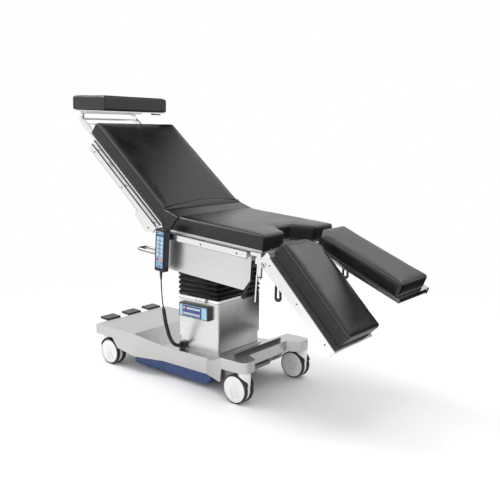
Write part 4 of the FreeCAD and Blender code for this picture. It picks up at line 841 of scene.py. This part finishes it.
def screws(name, place, body, spots, radius=HEX_HEAD_RADIUS, slot="bright_steel"):
    """Socket screws whose heads stand out along a direction."""
    build = Build(name, ["bright_steel", "dark_screw_and_shade"], place)
    scale = radius / HEX_HEAD_RADIUS
    for x, y, z, direction in spots:
        at = Matrix.Translation((x * MM, y * MM, z * MM)) @ facing(direction)
        build.turned(at, [(entry[0] * scale, entry[1] * scale, *entry[2:]) for entry in HEX_HEAD], sides=24)
    return build.done(body, slot)


def painted_shade_line(name, place, body, start, end, radius=0.9):
    """A thin dark pipe along a bar's lower edge: a painted shadow line, not a part."""
    build = Build(name, ["dark_screw_and_shade"], place)
    a, b = Vector(start) * MM, Vector(end) * MM
    build.pipe([a.lerp(b, k / 8) for k in range(9)], radius, 6)
    build.done(body, "bright_steel")


# The dark pipes along the rails' lower outer corners are painted shadow lines, not parts of the rails.
RAIL_EDGE_Y, RAIL_EDGE_Z = 284.2, -10.6
for side_name, side in SIDES:
    edge_y = RAIL_EDGE_Y * side
    painted_shade_line(f"seat_rail_shade_line_{side_name}", SEAT, "table", (45, edge_y, RAIL_EDGE_Z),
              (500, edge_y, RAIL_EDGE_Z))
    painted_shade_line(f"back_rail_shade_line_{side_name}", BACK, "back", (-560, edge_y, RAIL_EDGE_Z),
              (-150, edge_y, RAIL_EDGE_Z))

for side_name, side in SIDES:
    out = (0, side, 0)
    face = 284.5 * side
    screws(f"seat_rail_screws_{side_name}", SEAT, "table", [(x, face, 1.5, out) for x in (62, 253, 444)])
    screws(f"back_rail_screws_{side_name}", BACK, "back",
           [(-u, face, z, out) for u, z in ((58, -18), (292, 1.5), (529, 1.5))])
    screws(f"leg_bar_screws_{side_name}", LEG[side_name], "leg_" + side_name,
           [(a, face, h, out) for a, h in ((19, 19), (197, 21), (374, 22.5))], 3.8)
    pivot = Build(f"leg_pivot_{side_name}", ["bright_steel", "dark_screw_and_shade"], SEAT)
    at = Matrix.Translation((0.578, face * MM, -0.0175)) @ facing(out)
    pivot.turned(at, [(13.0, -0.4), (13.2, 1.2), (12.2, 1.9), (10.6, 1.9), (10.2, 0.8, 1), (7.6, 0.8, 1),
                      (7.2, 2.4), (6.6, 2.8), (4.6, 2.8, 0, 6), (4.3, 0.8, 1, 6)], sides=36)
    pivot.done("leg_knuckle_" + side_name, "bright_steel")
    ring_at = SEAT @ Matrix.Translation((0.542, 0.262 * side, -0.0755))
    ring = Build(f"post_ring_{side_name}", ["black_plastic"])
    ring.turned(ring_at, [(8.6, -1.6), (12.0, -1.2), (12.4, 0.6), (12.0, 2.2), (8.6, 2.6)], sides=28)
    ring.done("table", "black_plastic")
    cap = Build(f"post_cap_{side_name}", ["bright_steel"], SEAT)
    cap.turned(Matrix.Translation((0.542, 0.262 * side, 0.0045)),
               [(12.4, -5.5), (12.6, -4.5), (12.6, -1.5), (12.0, -0.6)], sides=28)
    cap.done("table", "bright_steel")
    screws(f"leg_end_screw_{side_name}", LEG[side_name], "leg_" + side_name,
           [(418.3, 268 * side, 30, (1, 0, 0))], 3.0)

screws("cover_screws", ROW, "base", [(-661, -231, 162, (0, -1, 0)), (-661, -231, 153, (0, -1, 0)),
                                     (-661, 231, 162, (0, 1, 0)), (-661, 231, 153, (0, 1, 0))], 2.6)


# Column: seams on the foot and head faces, a dark gap line and a painted shadow line, and catches on the
# bright ring

seam = Build("column_seams", ["dark_screw_and_shade"])
for low, high in ((53.5, 53.75), (-188.75, -188.5)):
    seam.slab(ROW, (low, -15.6, 209), (high, -14.6, 372), 0.1)
seam.done("base", "brushed_steel")
lines = Build("trim_gap_and_shadow_lines", ["dark_screw_and_shade"])
# The line at 375.4 is the dark gap under the ring; the line at 390.0 along the ring's top is a painted
# shadow.
for z, thick in ((375.4, 2.2), (390.0, 1.2)):
    lines.slab(ROW, (-188.0, -142.4, z), (53.0, 142.4, z + thick), 0.1)
lines.done("base", "bright_steel")
catches = Build("trim_catches", ["chrome", "dark_screw_and_shade"])
for x in (-82, -58):
    catches.slab(ROW, (x, -145.5, 374), (x + 9, -141.6, 386), 1.2)
    catches.turned(Matrix.Translation(((x + 4.5) * MM, -0.1455, 0.380)) @ facing((0, -1, 0)),
                   [(2.6, -0.2), (2.6, 1.2), (2.0, 1.8), (1.2, 1.8, 1, 6), (1.1, 0.9, 1, 6)], sides=18)
catches.done("base", "bright_steel")


# Control panel: a blue field with two rows of keys

panel = Build("panel_keys", ["panel_blue", "key_white", "key_red", "panel_violet"])
FIELD, PALE, ALERT, STRIPE = range(4)
PANEL_FACE = -165.0
PANEL_COLUMNS, PANEL_PITCH = 9, 11.4
PANEL_KEY = (9.2, 11)
panel.slab(ROW, (-141, PANEL_FACE - 0.9, 306), (-26, PANEL_FACE + 0.4, 354), 0.5, FIELD)
for row, z in enumerate((337.0, 312.0)):
    for i in range(PANEL_COLUMNS):
        x = -134.5 + i * PANEL_PITCH
        panel.slab(ROW, (x, PANEL_FACE - 2.6, z), (x + PANEL_KEY[0], PANEL_FACE - 0.5, z + PANEL_KEY[1]),
                   0.9, ALERT if (row == 0 and i == 1) else PALE)
panel.slab(ROW, (-137, PANEL_FACE - 1.5, 327.5), (-30, PANEL_FACE - 0.6, 332.5), 0.4, STRIPE)
panel.done("base", "panel_face")


# Handset: keys and marks on its label

keys = Build("handset_keys", ["key_dark", "panel_blue", "key_white", "key_red", "key_orange"], SEAT)
DARK, BLUE, PLAIN, RED, ORANGE = range(5)
LABEL_FACE = -320.5
KEY_COLUMNS = (41.5, 66.5)
KEY_ROWS, KEY_PITCH, KEY_RADIUS = 5, 17.5, 5.6


def key(x, z, radius, mark):
    at = Matrix.Translation((x * MM, LABEL_FACE * MM, z * MM)) @ facing((0, -1, 0))
    keys.turned(at, [(radius, -0.2), (radius, 0.9), (radius * 0.86, 1.5), (radius * 0.4, 1.7)], sides=20,
                material=mark)


def bar(left, low, right, high, mark):
    """A raised mark between two corners on the label."""
    keys.slab(ROW, (left, LABEL_FACE - 0.7, low), (right, LABEL_FACE + 0.2, high), 0.4, mark)


key(41, 18, 3.0, DARK)
key(66, 18, 2.4, DARK)
bar(33, 4, 75, 11, BLUE)
for row in range(KEY_ROWS):
    z = -6 - row * KEY_PITCH
    for x in KEY_COLUMNS:
        key(x, z, KEY_RADIUS, PLAIN)
    if row < KEY_ROWS - 1:
        bar(51.5, z - 11, 56.5, z - 7, DARK)
key(KEY_COLUMNS[0], -96, KEY_RADIUS, RED)
key(KEY_COLUMNS[1], -96, KEY_RADIUS, ORANGE)
bar(38, -112, 46, -109, DARK)
bar(62, -112, 70, -109, DARK)
bar(44, -126, 64, -122, BLUE)
keys.done("table", "panel_face")
frame_strips = Build("handset_frame", ["handset_shell"], SEAT)
for left, low, right, high in ((29, -137, 33, 28), (74.5, -137, 79, 28), (30, -137.5, 78, -131),
                               (30, 24, 78, 28.5)):
    frame_strips.slab(ROW, (left, LABEL_FACE - 0.9, low), (right, LABEL_FACE + 0.3, high), 0.4)
frame_strips.done("table", "black_plastic")


# Stage: a white floor that keeps the shadow, a plain bright surround, soft lamps

floor_mesh = bpy.data.meshes.new("floor")
grid = bmesh.new()
bmesh.ops.create_grid(grid, x_segments=2, y_segments=2, size=14)
grid.to_mesh(floor_mesh)
grid.free()
floor = bpy.data.objects.new("floor", floor_mesh)
bpy.context.scene.collection.objects.link(floor)
floor_material, shader, add, link = node_material("floor")
tree = floor_material.node_tree
place = add("ShaderNodeTexCoord")
reach = add("ShaderNodeVectorMath", operation="LENGTH")
link(place.outputs["Object"], reach.inputs[0])
fade = add("ShaderNodeMapRange", interpolation_type="SMOOTHSTEP")
fade.inputs["From Min"].default_value = 0.9
fade.inputs["From Max"].default_value = 2.4
link(reach.outputs["Value"], fade.inputs["Value"])
plain = add("ShaderNodeBsdfDiffuse")
plain.inputs["Color"].default_value = (0.93, 0.93, 0.93, 1)
glow = add("ShaderNodeEmission", Strength=1.0)
mixed = add("ShaderNodeMixShader")
link(fade.outputs["Result"], mixed.inputs[0])
link(plain.outputs[0], mixed.inputs[1])
link(glow.outputs[0], mixed.inputs[2])
link(mixed.outputs[0], tree.nodes["Material Output"].inputs["Surface"])
tree.nodes.remove(shader)
floor.data.materials.append(floor_material)

# The surround is white to the eye and in reflections, and a little dimmer as light
SURROUND_LIGHT = 0.98
world = bpy.data.worlds.new("surround")
bpy.context.scene.world = world
world.use_nodes = True
world.cycles.sampling_method = "NONE"
tree = world.node_tree
tree.nodes.clear()
rays = tree.nodes.new("ShaderNodeLightPath")
seen = tree.nodes.new("ShaderNodeMath")
seen.operation = "MAXIMUM"
bright = tree.nodes.new("ShaderNodeMath")
bright.operation = "MAXIMUM"
tree.links.new(rays.outputs["Is Camera Ray"], seen.inputs[0])
tree.links.new(rays.outputs["Is Glossy Ray"], seen.inputs[1])
tree.links.new(seen.outputs[0], bright.inputs[0])
tree.links.new(rays.outputs["Is Transmission Ray"], bright.inputs[1])
dim = tree.nodes.new("ShaderNodeBackground")
dim.inputs["Color"].default_value = (1, 1, 1, 1)
dim.inputs["Strength"].default_value = SURROUND_LIGHT
white = tree.nodes.new("ShaderNodeBackground")
white.inputs["Color"].default_value = (1, 1, 1, 1)
white.inputs["Strength"].default_value = 1.0
blend_world = tree.nodes.new("ShaderNodeMixShader")
tree.links.new(bright.outputs[0], blend_world.inputs[0])
tree.links.new(dim.outputs[0], blend_world.inputs[1])
tree.links.new(white.outputs[0], blend_world.inputs[2])
output = tree.nodes.new("ShaderNodeOutputWorld")
tree.links.new(blend_world.outputs[0], output.inputs["Surface"])


def lamp(name, location, target, size, power):
    data = bpy.data.lights.new(name, "AREA")
    data.shape = "DISK"
    data.size = size
    data.energy = power
    light = bpy.data.objects.new(name, data)
    light.location = location
    light.rotation_euler = (Vector(target) - Vector(location)).to_track_quat("-Z", "Y").to_euler()
    bpy.context.scene.collection.objects.link(light)
    return light


lamp("key", (-1.7, -0.5, 3.0), (0, 0, 0.4), 1.6, 46)
lamp("top", (0.3, -0.6, 3.8), (0, 0, 0.5), 2.4, 14)
lamp("rim", (1.15, 2.15, 2.4), (0.5, 0, 0.5), 1.2, 6)


# Studio flags: screens seen only in reflections, each shaded from dark to the surround's white


def flag(name, corners, across, low, high, dark):
    """A screen through four points in metres, dark at low and white at high along a direction."""
    mesh = bpy.data.meshes.new(name)
    mesh.from_pydata(corners, [], [(0, 1, 2, 3)])
    screen = bpy.data.objects.new(name, mesh)
    bpy.context.scene.collection.objects.link(screen)
    for kind in ("camera", "diffuse", "transmission", "volume_scatter", "shadow"):
        setattr(screen, "visible_" + kind, False)
    material, shader, add, link = node_material(name)
    place = add("ShaderNodeTexCoord")
    along = add("ShaderNodeVectorMath", operation="DOT_PRODUCT")
    along.inputs[1].default_value = across
    link(place.outputs["Object"], along.inputs[0])
    level = add("ShaderNodeMapRange", interpolation_type="SMOOTHSTEP")
    level.inputs["From Min"].default_value = low
    level.inputs["From Max"].default_value = high
    level.inputs["To Min"].default_value = dark
    level.inputs["To Max"].default_value = 1.0
    link(along.outputs["Value"], level.inputs["Value"])
    glow = add("ShaderNodeEmission")
    link(level.outputs["Result"], glow.inputs["Strength"])
    link(glow.outputs[0], material.node_tree.nodes["Material Output"].inputs["Surface"])
    material.node_tree.nodes.remove(shader)
    mesh.materials.append(material)


flag("flag_right", [(-0.1, 1.35, 0.0), (1.5, 0.05, 0.0), (1.5, 0.05, 0.95), (-0.1, 1.35, 0.95)],
     (0, 0, 1), 0.36, 0.92, 0.0)
flag("flag_back", [(-2.2, 1.0, 1.3), (0.4, 1.0, 1.3), (0.4, 1.0, 3.4), (-2.2, 1.0, 3.4)], (1, 0, -1),
     -2.86, -2.24, 0.0)
flag("flag_column", [(0.16, -0.16, 0.148), (0.16, 0.16, 0.148), (0.16, 0.16, 0.40), (0.16, -0.16, 0.40)],
     (0, 0, 1), 0.15, 0.49, 0.02)

bpy.context.view_layer.update()
